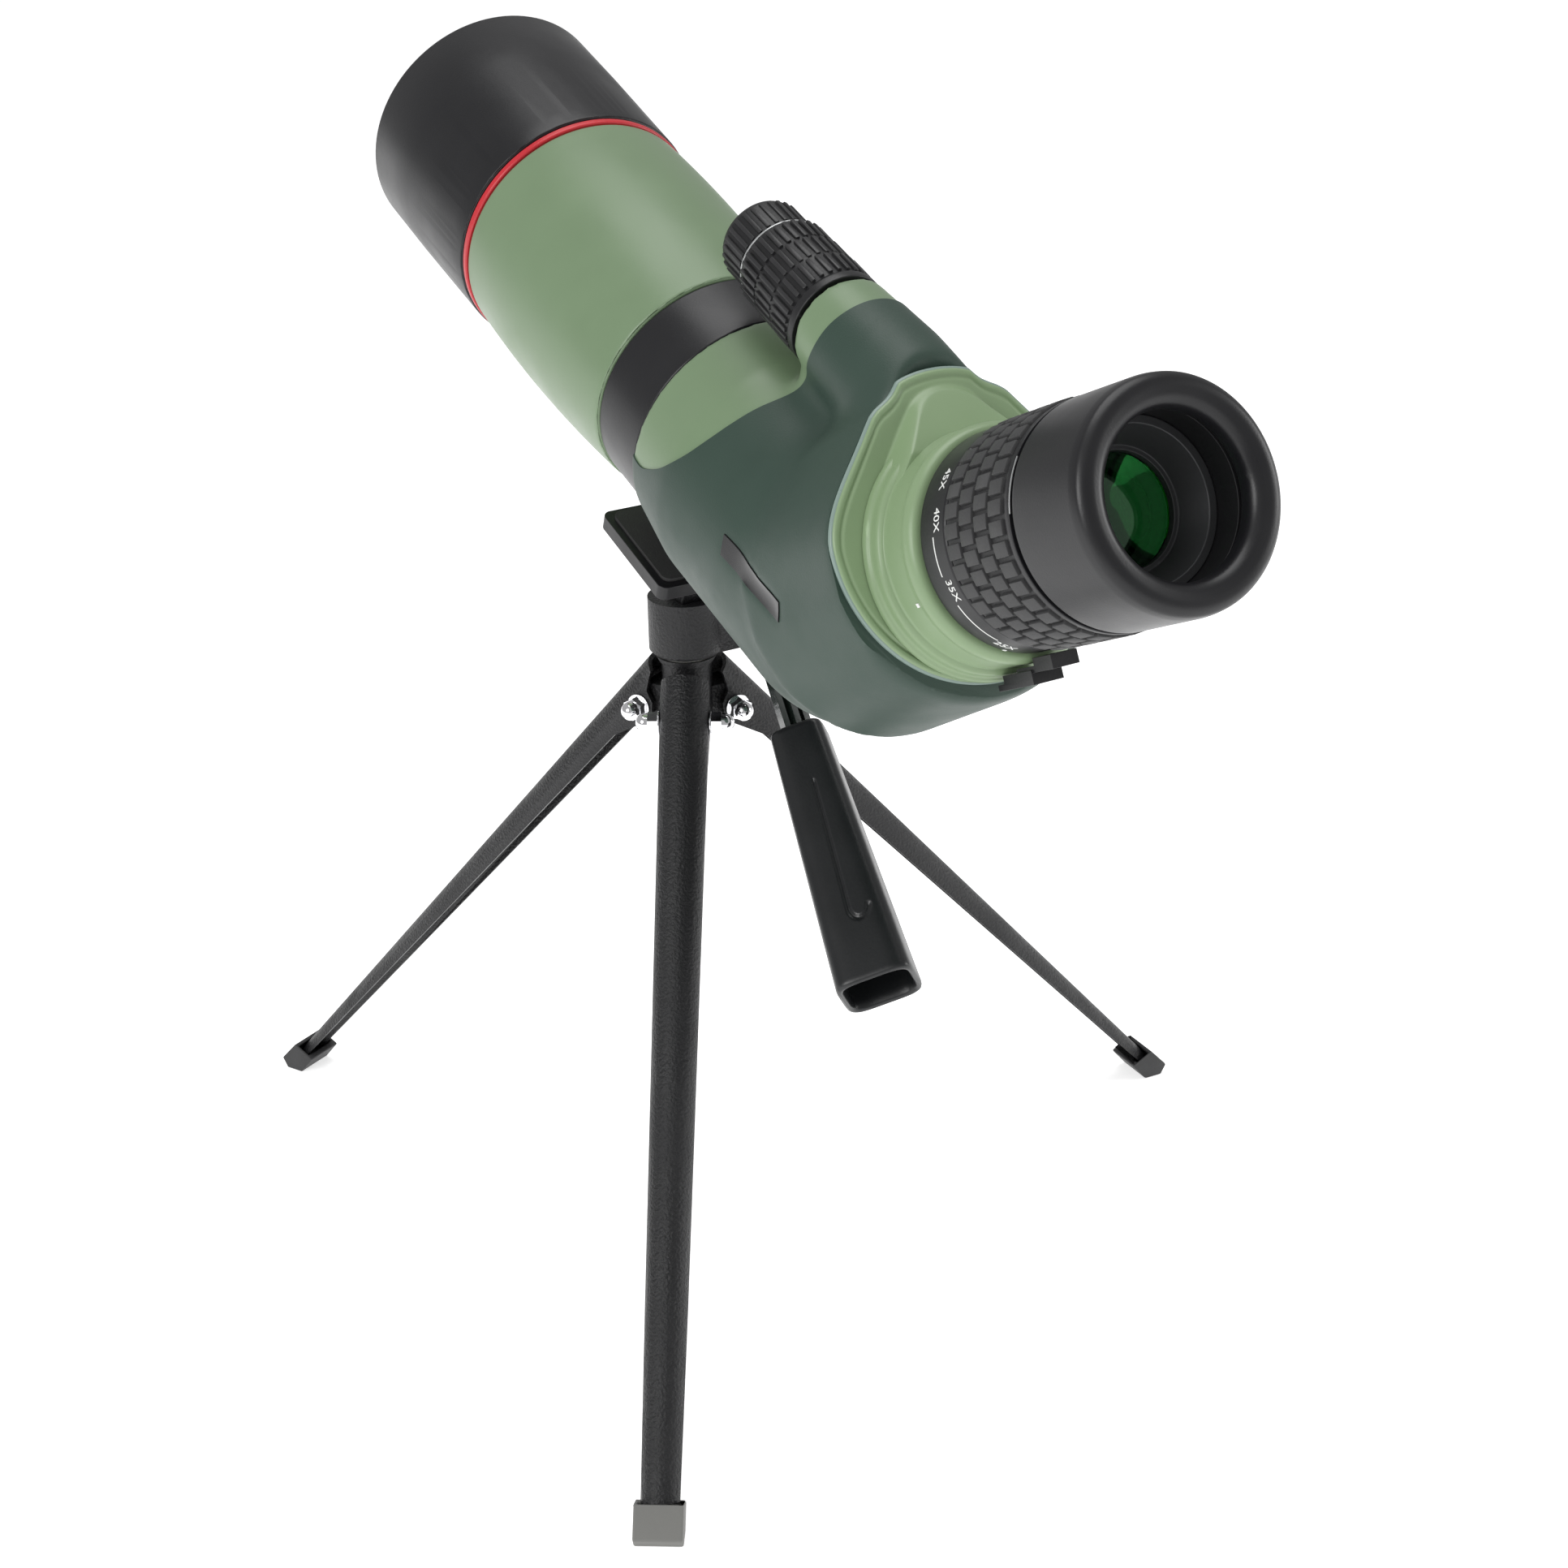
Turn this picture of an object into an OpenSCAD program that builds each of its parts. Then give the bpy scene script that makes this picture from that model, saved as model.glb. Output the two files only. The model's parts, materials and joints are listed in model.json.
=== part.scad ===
// Angled spotting scope on a folding table tripod with a pan and tilt head.
// Millimetres. +Z is up, the floor is z = 0, and the scope looks along +Y, tipped up.

/* [Tripod] */
// Distance from each leg's hinge to the bottom of its foot, along the leg
leg_length = 213.5; // [200:1:222]
// Angle between an open leg and the vertical
leg_spread = 43; // [40:1:45]
// Turn of the three legs about the pan axis
leg_turn = -33.5; // [-40:0.5:-28]
// Radius of the circle that the three leg hinges lie on
hinge_circle_r = 11.6; // [11.4:0.1:12]
// Outside width of a leg at its hinge
leg_top_w = 13.3; // [12.6:0.1:13.4]
// Outside width of a leg at its foot
leg_foot_w = 10.3; // [9.5:0.1:11]

/* [Head] */
// Diameter of the round pan head
pan_head_d = 20; // [19:0.5:21]
// Width of the platform across the scope
platform_w = 43; // [40:1:44]
// Length of the platform along the scope
platform_l = 34; // [32:0.2:35]
// Length of the hollow grip on the pan handle
grip_length = 77; // [70:1:84]

/* [Optical tube] */
// Tilt of the optical axis above the horizontal
pitch = 20; // [18:1:22]
// Outside diameter of the sunshade
hood_d = 70; // [68:0.5:71]
// Clear diameter of the objective lens
objective_d = 60; // [56:1:60]
// Outside diameter of the prism housing with its rubber armour
body_d = 70.6; // [70:0.2:71]

/* [Eyepiece] */
// Angle between the eyepiece and the main tube
eyepiece_angle = 45; // [44:1:46]
// Outside diameter of the eyecup
eyecup_d = 49.8; // [48:0.2:50.4]
// Outside diameter of the zoom scale ring
zoom_ring_d = 49.2; // [48:0.2:50]

/* [Hidden] */

facets = 96;
fit_gap = 0.05;
seat_gap = 0.1;

// Frame: the pan axis stands at this point, so that the model's box is centred on the origin.
pan_x = -33.1;
pan_y = 36.1;
hinge_z = leg_length * cos(leg_spread);
leg_angles = [leg_turn, leg_turn + 120, leg_turn + 240];

// Scope frame: x across, y forward along the main axis, z up from it.
axis_y = -48;
axis_z = hinge_z + 82.8;
eye_y = -50.9;
knob_z = 49.3;
body_r = body_d / 2;
armour_t = 2;
shell_t = 2.6;
flange_e = 45;

// Along the main axis, measured forward from the scope frame's origin.
collar_s = [12.9, 32.6];
barrel_front_s = 105.7;
hood_s = [107.85, 164.1];
front_tube_r = 31.55;
hood_wall_in = 32.8;

module at_tripod() translate([pan_x, pan_y, 0]) children();
module at_scope() at_tripod() translate([0, axis_y, axis_z]) rotate([pitch, 0, 0]) children();
module at_eyepiece() at_scope() translate([0, eye_y, 0]) rotate([eyepiece_angle, 0, 0]) children();
module at_knob() at_scope() translate([0, 0, knob_z]) children();

// A leg's own frame: its hinge at the origin, the leg running down -Z, its back facing -Y.
module at_hinge(a) at_tripod() rotate([0, 0, a]) translate([0, -hinge_circle_r, hinge_z]) children();
module at_leg(a) at_hinge(a) rotate([-leg_spread, 0, 0]) children();

// A body turned about the forward axis from points of [radius, forward position].
module turned(points) rotate([-90, 0, 0]) rotate_extrude($fn = facets) polygon(points);
// A body turned about the local Z axis.
module spun(points) rotate_extrude($fn = facets) polygon(points);
// A plain tube along the forward axis, from a to b.
module tube(r_out, r_in, a, b) turned([[r_in, a], [r_out, a], [r_out, b], [r_in, b]]);
// A plain tube along local Z, from a to b.
module ring(r_out, r_in, a, b) spun([[r_in, a], [r_out, a], [r_out, b], [r_in, b]]);
// A rod along local X, from a to b.
module cross_rod(r, a, b) translate([a, 0, 0]) rotate([0, 90, 0]) cylinder(h = b - a, r = r, $fn = 48);
// Half profile of a lens with two bulging faces, about the forward axis.
function lens_points(r, a, b, bulge_a, bulge_b) = concat(
    [for (i = [0 : 8]) [r * i / 8, a - bulge_a * (1 - pow(i / 8, 2))]],
    [for (i = [8 : -1 : 0]) [r * i / 8, b + bulge_b * (1 - pow(i / 8, 2))]]);

/* Tripod */

module lug() {
    // One fin of the crown, bored for the hinge stud
    difference() {
        union() {
            translate([-4.3, -hinge_circle_r, hinge_z - 4.6]) cube([8.6, hinge_circle_r, 11]);
            translate([0, -hinge_circle_r, hinge_z]) cross_rod(4.6, -4.3, 4.3);
        }
        translate([0, -hinge_circle_r, hinge_z]) cross_rod(1.55, -6, 6);
        // Slanted top that the open leg's back lies over
        translate([0, -hinge_circle_r, hinge_z]) rotate([-leg_spread, 0, 0])
            translate([-6, -16, -4]) cube([12, 11.2, 30]);
    }
}

module crown() color([0.1, 0.1, 0.11]) at_tripod() difference() {
    union() {
        translate([0, 0, hinge_z - 7]) cylinder(h = 21, r = 6.8, $fn = 64);
        translate([0, 0, hinge_z + 13.9]) cylinder(h = 1.8, r1 = 7.4, r2 = 8.3, $fn = 64);
        for (a = leg_angles) rotate([0, 0, a]) lug();
    }
    translate([0, 0, hinge_z + 2]) cylinder(h = 20, r = 2.52, $fn = 48);
}

module pan_washer() color([0.85, 0.85, 0.8]) at_tripod() translate([0, 0, hinge_z + 15.75])
    difference() {
        cylinder(h = 0.5, r = 7.6, $fn = 64);
        translate([0, 0, -1]) cylinder(h = 2, r = 3.1, $fn = 48);
    }

module pan_spindle() color([0.7, 0.7, 0.72]) at_tripod() {
    translate([0, 0, hinge_z + 3]) cylinder(h = 13, r = 2.5, $fn = 48);
    translate([0, 0, hinge_z + 16]) cylinder(h = 3.8, r = 2.96, $fn = 48);
    translate([0, 0, hinge_z + 19.8]) cylinder(h = 1.4, r = 3.9, $fn = 48);
}

module hinge_studs() color([0.8, 0.8, 0.82])
    for (a = leg_angles) at_hinge(a) cross_rod(1.5, -9.6, 9.6);

module hinge_washers() color([0.85, 0.85, 0.87])
    for (a = leg_angles, side = [-1, 1]) at_hinge(a) scale([side, 1, 1]) difference() {
        cross_rod(3.5, leg_top_w / 2 + 0.05, leg_top_w / 2 + 0.55);
        cross_rod(1.55, 5, 9);
    }

module acorn_nut() {
    difference() {
        union() {
            rotate([0, 90, 0]) cylinder(h = 2.7, d = 6.35, $fn = 6);
            cross_rod(2.6, 2.6, 3.5);
            translate([3.5, 0, 0]) sphere(r = 2.6, $fn = 48);
        }
        cross_rod(1.53, -1, 3.2);
        translate([-5, -5, -5]) cube([5, 10, 10]);
    }
}

module acorn_nuts() color([0.9, 0.9, 0.92])
    for (a = leg_angles, side = [-1, 1])
        at_hinge(a) rotate([0, 0, side > 0 ? 0 : 180])
            translate([leg_top_w / 2 + 0.6, 0, 0]) acorn_nut();

leg_wall = 1.2;
foot_start = leg_length - 9.5;
leg_end = foot_start + 4;
// How far a leg's back stands out from the line through hinge and foot
back_top = 8.5;
back_foot = 1.9;
back_slope = atan((back_top - back_foot) / leg_length);
round_slope = atan((back_top - leg_top_w / 2 - back_foot + leg_foot_w / 2) / leg_length);

// Width of the leg over its length, with g taken off each side
module leg_front_limit(g) rotate([90, 0, 0]) linear_extrude(40, center = true) polygon([
    [-leg_top_w / 2 + g, 12], [leg_top_w / 2 - g, 12],
    [leg_foot_w / 2 - g, -leg_end - g], [-leg_foot_w / 2 + g, -leg_end - g]]);

// Solid form of the pressed leg: a round back and straight flanges, g smaller all round
module leg_form(g) intersection() {
    leg_front_limit(g);
    translate([0, -back_top + leg_top_w / 2, 0]) rotate([round_slope, 0, 0]) union() {
        translate([0, 0, -leg_length]) cylinder(
            h = leg_length + 14, r1 = leg_foot_w / 2 - g,
            r2 = leg_top_w / 2 - g + (leg_top_w - leg_foot_w) * 7 / leg_length, $fn = 64);
        translate([-10, 0, -leg_length]) cube([20, 20, leg_length + 20]);
    }
}

// Outline seen from the side: a deep ear round the hinge, then shallow flanges
module leg_side_limit() rotate([90, 0, 90]) linear_extrude(30, center = true) polygon([
    [-12, 10.6], [-4.4, 10.6], [-1.5, 5.4], [2, 4.2], [4, 1.5], [4, -3], [0.6, -14],
    [1.3, -leg_end], [-12, -leg_end]]);

module leg(a) color([0.08, 0.08, 0.09]) at_leg(a) difference() {
    intersection() {
        leg_form(0);
        leg_side_limit();
    }
    leg_form(leg_wall);
    cross_rod(1.55, -10, 10);
}

module foot(a) color([0.25, 0.25, 0.25]) intersection() {
    at_leg(a) difference() {
        // Moulded cap, cut level by the floor
        rotate([90, 0, 90]) linear_extrude(12.4, center = true) polygon([
            [-3.6, -foot_start], [3.8, -foot_start + 2], [4.2, -leg_length + 2], [4.2, -leg_length - 6],
            [0.6, -leg_length - 6], [0.6, -leg_length - 0.3], [-3.6, -leg_length + 0.9]]);
        // Socket for the end of the leg
        rotate([90, 0, 90]) linear_extrude(leg_foot_w + 0.6, center = true) polygon([
            [-2.4, -foot_start + 9], [1.9, -foot_start + 9],
            [1.9, -leg_end - 0.2], [-2.4, -leg_end - 0.2]]);
    }
    translate([-400, -400, 0]) cube([800, 800, 60]);
}

module front_leg() leg(leg_angles[0]);
module right_leg() leg(leg_angles[1]);
module left_leg() leg(leg_angles[2]);
module front_foot() foot(leg_angles[0]);
module right_foot() foot(leg_angles[1]);
module left_foot() foot(leg_angles[2]);

/* Pan and tilt head */

tilt_z = hinge_z + 27.2;
head_z = [hinge_z + 16.4, hinge_z + 32.3];
boss_end_x = 17;
module at_tilt() at_tripod() translate([0, 0, tilt_z]) children();

module pan_head() color([0.1, 0.1, 0.11]) difference() {
    union() {
        at_tripod() translate([0, 0, head_z[0]])
            cylinder(h = 1.2, d1 = pan_head_d - 2.4, d2 = pan_head_d, $fn = facets);
        at_tripod() translate([0, 0, head_z[0] + 1.2])
            cylinder(h = head_z[1] - head_z[0] - 1.2, d = pan_head_d, $fn = facets);
        // Side boss for the tilt shaft
        at_tripod() translate([0, -7.5, head_z[0] + 0.4])
            cube([boss_end_x, 15, head_z[1] - head_z[0] - 0.4]);
        at_tilt() cross_rod(8.6, 4, boss_end_x);
    }
    // Slot for the tilting tongue, open at the front
    at_tripod() translate([-4.3, -6.6, hinge_z + 19.7]) cube([8.6, 25, 20]);
    at_tilt() cross_rod(3.03, -7.5, boss_end_x + 2);
    at_tripod() translate([0, 0, head_z[0] - 1]) cylinder(h = 6, r = 3.02, $fn = 48);
}

module tilt_shaft() color([0.75, 0.75, 0.77]) at_tilt() cross_rod(2.98, -7.2, 25.8);

// Foot of the tilting neck in the scope frame, straight below the platform
pivot_s = -axis_y * cos(pitch) + (tilt_z - axis_z) * sin(pitch);
pivot_u = axis_y * sin(pitch) + (tilt_z - axis_z) * cos(pitch);
platform_s = 23.7;
platform_top = -41;
platform_t = 4;
screw_s = 15.3;

module tilt_bracket() color([0.09, 0.09, 0.1]) difference() {
    union() {
        at_tilt() cross_rod(5.4, -4, 4);
        at_scope() translate([-3.7, pivot_s - 3.6, pivot_u])
            cube([7.4, 8, platform_top - platform_t - 0.6 - pivot_u]);
        at_scope() translate([-12, pivot_s - 3.1, platform_top - platform_t - 3]) cube([24, 14, 3]);
    }
    at_tilt() cross_rod(3.0, -6, 6);
}

module platform() color([0.06, 0.06, 0.07]) at_scope() difference() {
    translate([0, platform_s, platform_top - platform_t]) linear_extrude(platform_t)
        rounded_plate(platform_w, platform_l, 2.4);
    translate([0, screw_s, platform_top - 10]) cylinder(h = 20, r = 3.4, $fn = 48);
}

module rounded_plate(w, l, r) {
    // A rectangle with round corners
    square([w - 2 * r, l], center = true);
    square([w, l - 2 * r], center = true);
    for (x = [-1, 1], y = [-1, 1])
        translate([x * (w / 2 - r), y * (l / 2 - r)]) circle(r = r, $fn = 32);
}

module platform_pad() color([0.13, 0.13, 0.13]) at_scope() difference() {
    translate([0, platform_s, platform_top]) linear_extrude(0.95)
        rounded_plate(platform_w - 4, platform_l - 4, 2.4);
    translate([0, screw_s, platform_top - 1]) cylinder(h = 4, r = 3.5, $fn = 48);
}

module platform_screw() color([0.15, 0.15, 0.16]) at_scope() translate([0, screw_s, 0]) {
    // Threaded end above, knurled wheel below the platform
    translate([0, 0, platform_top - platform_t - 1]) cylinder(h = 10, r = 3.08, $fn = 48);
    translate([0, 0, platform_top - platform_t - 4.6]) cylinder(h = 4.4, r = 6.2, $fn = 48);
    for (i = [0 : 23]) rotate([0, 0, i * 15])
        translate([6.05, -0.4, platform_top - platform_t - 4.3]) cube([0.5, 0.8, 3.8]);
}

// The handle points back, down and slightly inward from the tilt shaft's right end.
handle_down = 36.5;
handle_in = 12.4;
hub_x = 21.8;
grip_start = 44;
module at_handle() at_tilt() translate([hub_x, 0, 0]) rotate([0, 0, -handle_in])
    rotate([90 + handle_down, 0, 0]) children();

module handle_hub() color([0.08, 0.08, 0.09]) difference() {
    union() {
        at_tilt() cross_rod(7, boss_end_x + 0.5, 26.4);
        at_handle() cylinder(h = 12, r = 4.4, $fn = 48);
    }
    at_tilt() cross_rod(3.0, boss_end_x - 2, 25.9);
    // Flat on the neck where it passes the pan head
    at_tilt() translate([0, -30, -30]) cube([boss_end_x + 0.3, 60, 60]);
    at_handle() translate([0, 0, 6.5]) cylinder(h = 8, r = 2.05, $fn = 48);
}

module handle_shank() color([0.07, 0.09, 0.08]) at_handle() {
    translate([0, 0, 7]) cylinder(h = 7, r = 2, $fn = 48);
    // Cross-ribbed bar
    translate([0, 0, 13]) linear_extrude(grip_start - 10) {
        square([7.4, 1.6], center = true);
        square([1.6, 6.4], center = true);
        translate([2.9, 0]) square([1.6, 4.4], center = true);
        translate([-2.9, 0]) square([1.6, 4.4], center = true);
    }
}

grip_turn = 25;
module grip_form(g, a, b) rotate([0, 0, grip_turn]) hull() {
    // Square section with round corners that widens towards the open end
    for (x = [-1, 1], y = [-1, 1]) {
        translate([x * (7.2 - 3), y * (7.2 - 3), a]) cylinder(h = 0.1, r = 3 - g, $fn = 24);
        translate([x * (10.3 - 4.4), y * (10.3 - 4.4), b - 0.1]) cylinder(h = 0.1, r = 4.4 - g, $fn = 24);
    }
}

module handle_grip() color([0.07, 0.07, 0.08]) at_handle() difference() {
    grip_form(0, grip_start, grip_start + grip_length);
    grip_form(1.6, grip_start + 8, grip_start + grip_length + 6);
    translate([0, 0, grip_start - 1]) linear_extrude(12) {
        square([7.7, 5.2], center = true);
        square([2, 6.8], center = true);
    }
}

/* Mounting foot and collar */

module scope_foot() color([0.07, 0.07, 0.08]) at_scope() difference() {
    union() {
        translate([-10, 9.4, -40]) cube([20, 24.6, 4]);
        translate([-8, 13.4, -37]) cube([16, 18.4, 12]);
    }
    turned([[0, 0], [31.5, 0], [31.5, 50], [0, 50]]);
    translate([0, screw_s, -41]) cylinder(h = 7.5, r = 4.82, $fn = 48);
}

module foot_bush() color([0.75, 0.62, 0.3]) at_scope() difference() {
    translate([0, screw_s, -40]) cylinder(h = 6.2, r = 4.8, $fn = 48);
    translate([0, screw_s, -41]) cylinder(h = 6, r = 3.13, $fn = 48);
}

module tripod_collar() color([0.1, 0.1, 0.12]) at_scope() turned([
    [29, collar_s[0] + 0.05], [31.0, collar_s[0] + 0.05], [31.4, collar_s[0] + 0.5],
    [31.4, collar_s[1] - 0.55], [31.1, collar_s[1] - 0.1], [29, collar_s[1] - 0.1]]);

/* Barrel */

// Outside radius of the barrel, which swells forward in a shallow arc
function barrel_r(s) = let (k = (s - collar_s[1]) / (barrel_front_s - collar_s[1]))
    31.9 + 1.8 * k + 6 * k * (1 - k);

module barrel() color([0.48, 0.6, 0.42]) at_scope() turned(concat(
    [[27.3, 25], [28.9, 25], [28.9, collar_s[1]], [31.4, collar_s[1]], [31.95, collar_s[1] + 0.6]],
    [for (i = [1 : 24]) let (s = collar_s[1] + 0.6 + i * (barrel_front_s - 0.8 - collar_s[1] - 0.6) / 24)
        [barrel_r(s), s]],
    [[33.1, barrel_front_s], [31.0, barrel_front_s], [31.0, 97], [29.5, 95.5], [29.5, 38], [27.3, 35]]));

module red_ring() color([0.72, 0.1, 0.12]) at_scope() turned([
    [31.65, 105.75], [33.8, 105.75], [34.1, 106.1], [34.1, 107.4], [33.8, 107.7], [31.65, 107.7]]);

module front_tube() color([0.05, 0.05, 0.06]) at_scope() turned([
    [28.6, 97.05], [30.95, 97.05], [30.95, 105.75], [front_tube_r, 105.75], [front_tube_r, 143],
    [hood_wall_in - fit_gap, 143], [hood_wall_in - fit_gap, 147], [31.1, 147],
    [30.15, 144.5], [30.15, 130], [28, 128], [28, 126], [28.6, 124]]);

module objective_crown() color([0.6, 0.75, 0.7]) at_scope()
    turned(lens_points(objective_d / 2 + 0.1, 135.3, 137.4, 1.6, 3.2));
module objective_flint() color([0.55, 0.7, 0.68]) at_scope()
    turned(concat([for (i = [0 : 8]) [30.1 * i / 8, 130.4 + 0.6 * pow(i / 8, 2)]],
        [for (i = [8 : -1 : 0]) [30.1 * i / 8, 133.4 - 1.5 * (1 - pow(i / 8, 2))]]));
module objective_spacer() color([0.1, 0.1, 0.1]) at_scope()
    turned([[28.6, 133.5], [30.1, 133.5], [30.1, 135.2], [28.6, 135]]);
module objective_retainer() color([0.05, 0.05, 0.06]) at_scope()
    turned([[28.4, 137.9], [30.1, 137.6], [30.1, 140.6], [29.2, 140.6]]);

module barrel_baffle() color([0.05, 0.05, 0.05]) at_scope() turned([
    [29.45, 66], [29.45, 72], [28.6, 72], [28.6, 67], [22, 67], [22.4, 66]]);

module hood() color([0.08, 0.08, 0.09]) at_scope() turned([
    [hood_wall_in, hood_s[0]], [34.1, hood_s[0]], [34.5, hood_s[0] + 0.5],
    [hood_d / 2, hood_s[0] + 34], [hood_d / 2, hood_s[1] - 1.1], [hood_d / 2 - 0.3, hood_s[1] - 0.4],
    [hood_d / 2 - 1, hood_s[1]], [33.4, hood_s[1]], [hood_wall_in, hood_s[1] - 0.6]]);

module hood_bush() color([0.12, 0.12, 0.12]) at_scope()
    tube(hood_wall_in - 0.03, front_tube_r + fit_gap, hood_s[0] + 0.1, hood_s[0] + 5);

/* Prism housing */

// Rear outline: a circle whose upper half is drawn in towards the top
function egg(r) = [for (t = [0 : 5 : 355]) let (k = sin(t) > 0 ? 1 - 0.2 * pow(sin(2 * t), 2) : 1)
    [r * cos(t) * k, 6.3 + r * sin(t)]];

module behind_flange(limit) {
    // Everything on the housing's side of the rear plane
    at_eyepiece() translate([-60, -90, limit - 120]) cube([120, 180, 120]);
}

// The housing's rear part, round below and drawn in towards the top, with g taken off all round
rear_r = body_r + 0.6;
module rear_form(g, limit) intersection() {
    at_eyepiece() rotate([-5, 0, 0]) translate([0, -0.7, -10])
        cylinder(h = 70, r = body_r + 1.2 - g, $fn = facets);
    at_eyepiece() linear_extrude(limit) {
        polygon(egg(rear_r - g));
        translate([-rear_r + g, -60]) square([2 * (rear_r - g), 66.3]);
    }
}

// The housing's outer form with g taken off all round
module housing_form(g, limit) {
    at_scope() turned([[0, eye_y], [body_r - g, eye_y], [body_r - g, -6],
        [32.6 - g, collar_s[0] - g * 0.02], [0, collar_s[0] - g * 0.02]]);
    at_scope() translate([0, eye_y, 0]) sphere(r = body_r - g, $fn = facets);
    rear_form(g, limit);
    intersection() {
        union() {
            at_knob() turned([[0, -70], [14.4 - g, -70], [14.4 - g, -40],
                [13.1 - g, -16.2 - g], [0, -16.2 - g]]);
            at_scope() translate([-10 + g, -70, 20]) cube([20 - 2 * g, 53.8 - g, 30]);
        }
        behind_flange(limit);
    }
}

// Space in front of the armour's wavy front edge, seen from the side, d in from that edge
armour_wave = [[14, -1], [7.3, -0.5], [-4, 7.2], [-9.8, 14.3], [-13.2, 20.5], [-15.2, 25.5], [-17, 30.5],
    [-20.5, 37], [-23.5, 43.5], [-25.9, 51], [-26.8, 58], [-27.4, 63], [-27.6, 70]];
module armour_front(d) at_scope() rotate([90, 0, 90]) linear_extrude(100, center = true)
    polygon(concat([[30, 80], [30, -1]], [for (p = armour_wave) p + [d, 0]], [[-27.6 + d, 80]]));

module body_shell() color([0.55, 0.68, 0.46]) difference() {
    union() {
        housing_form(armour_t + seat_gap, flange_e - 4.1);
        intersection() {
            housing_form(0, flange_e - 4.1);
            armour_front(seat_gap);
        }
        at_scope() tube(28.9, 26, 6, 21);
    }
    // Hollow for the prisms
    at_scope() translate([0, -70, 0]) tube(body_r - armour_t - shell_t, 0, 19, 78);
    at_scope() translate([0, eye_y, 0]) sphere(r = body_r - armour_t - shell_t - 0.6, $fn = facets);
    at_eyepiece() cylinder(h = flange_e, r = 28.5, $fn = facets);
    at_scope() tube(27.3, 0, 0, 30);
    // Hollow of the knob shroud, and the slot that the focusing arm works in
    intersection() {
        at_knob() tube(11.2, 0, -70, -19);
        behind_flange(flange_e - 7);
    }
    at_scope() translate([-6, -47, 20]) cube([12, 28, 32]);
    at_knob() tube(5.02, 0, -24, -10);
    nameplate_pocket(0.2);
}

module rubber_armour() color([0.2, 0.3, 0.27]) difference() {
    housing_form(0, flange_e - 0.6);
    housing_form(armour_t, flange_e + 4);
    armour_front(0);
    nameplate_pocket(0.2);
}

module nameplate_pocket(d) at_scope() {
    // Slanted recess on the left side
    rotate([90, 0, -90]) translate([0, 0, body_r - 1.4 - d]) linear_extrude(6) polygon([
        [34.2 - d, 9.4 + d], [35.7 - d, 4.5 - d], [64.2 + d, 6.6 - d], [62.7 + d, 11.2 + d]]);
}

module nameplate() color([0.06, 0.06, 0.07]) intersection() {
    nameplate_pocket(0);
    at_scope() tube(body_r - 0.3, body_r - 1.3, -80, 0);
}

module entry_prism() color([0.75, 0.85, 0.85]) at_scope() rotate([90, 0, 90])
    linear_extrude(30, center = true) polygon([[-34, 13], [-34, -15], [-49, -15], [-43, 0], [-50, 13]]);

module roof_prism() color([0.72, 0.83, 0.84]) at_eyepiece() rotate([90, 0, 90])
    linear_extrude(30, center = true) polygon([[-13, 24], [13, 24], [13, 15], [-9, -6], [-13, 8]]);

module prism_frame() color([0.15, 0.15, 0.16]) {
    for (side = [-1, 1]) at_scope() rotate([90, 0, 90])
        translate([0, 0, side * 16.2 - 1]) linear_extrude(2) polygon([
            [-32.5, 19], [-32.5, -18], [-56, -19], [-75, -2], [-82, 8], [-64, 24], [-48, 20]]);
}

/* Focus drive */

module rib_band(r, count, a, b, turn) {
    // Straight ribs round a knob, between a and b along it
    for (i = [0 : count - 1]) rotate([0, i * 360 / count + turn, 0])
        translate([-0.55, a, r - 0.3]) cube([1.1, b - a, 0.7]);
}

module coarse_knob() color([0.08, 0.08, 0.08]) at_knob() {
    turned([[3.02, -15.6], [12.6, -15.6], [12.6, -13.2], [12, -12.6], [12, -5], [11.7, 3], [11.4, 11.2],
        [9.5, 11.2], [9.5, 8], [3.02, 8]]);
    rib_band(12, 36, -12, -4.8, 0);
    rib_band(11.85, 36, -4.2, 3, 5);
    rib_band(11.6, 36, 3.6, 10.6, 0);
}

module focus_shaft() color([0.7, 0.7, 0.72]) at_knob() tube(3, 1.56, -34, 9);

module focus_bearing() color([0.75, 0.62, 0.3]) at_knob() {
    tube(5, 3.05, -19.2, -16);
    tube(7, 3.05, -21, -19.05);
}

module fine_knob() color([0.08, 0.08, 0.08]) at_knob() {
    turned([[0, 12.4], [3, 12.4], [3, 11.6], [10.7, 11.6], [10.6, 21.2],
        [9.8, 22.9], [8.4, 23.4], [0, 23.4]]);
    rib_band(10.5, 30, 12.6, 20.6, 0);
}

module fine_shaft() color([0.7, 0.7, 0.72]) at_knob() tube(1.5, 0, -30, 12.35);

module focus_carriage() color([0.3, 0.3, 0.32]) at_scope() difference() {
    union() {
        tube(24.5, 20.5, -28.5, -8);
        translate([-4, -28.5, 22]) cube([8, 4, 30]);
        translate([0, 0, knob_z]) tube(6, 3.06, -28.5, -24.5);
    }
    translate([0, 0, knob_z]) tube(3.06, 0, -32, -18);
}

module focusing_lens() color([0.7, 0.8, 0.8]) at_scope() turned(concat(
    [for (i = [0 : 8]) [20.4 * i / 8, -17 + 2 * pow(i / 8, 2) - 2]],
    [for (i = [8 : -1 : 0]) [20.4 * i / 8, -15 + 1.5 * pow(i / 8, 2) - 1]]));

/* Eyepiece */

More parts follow.
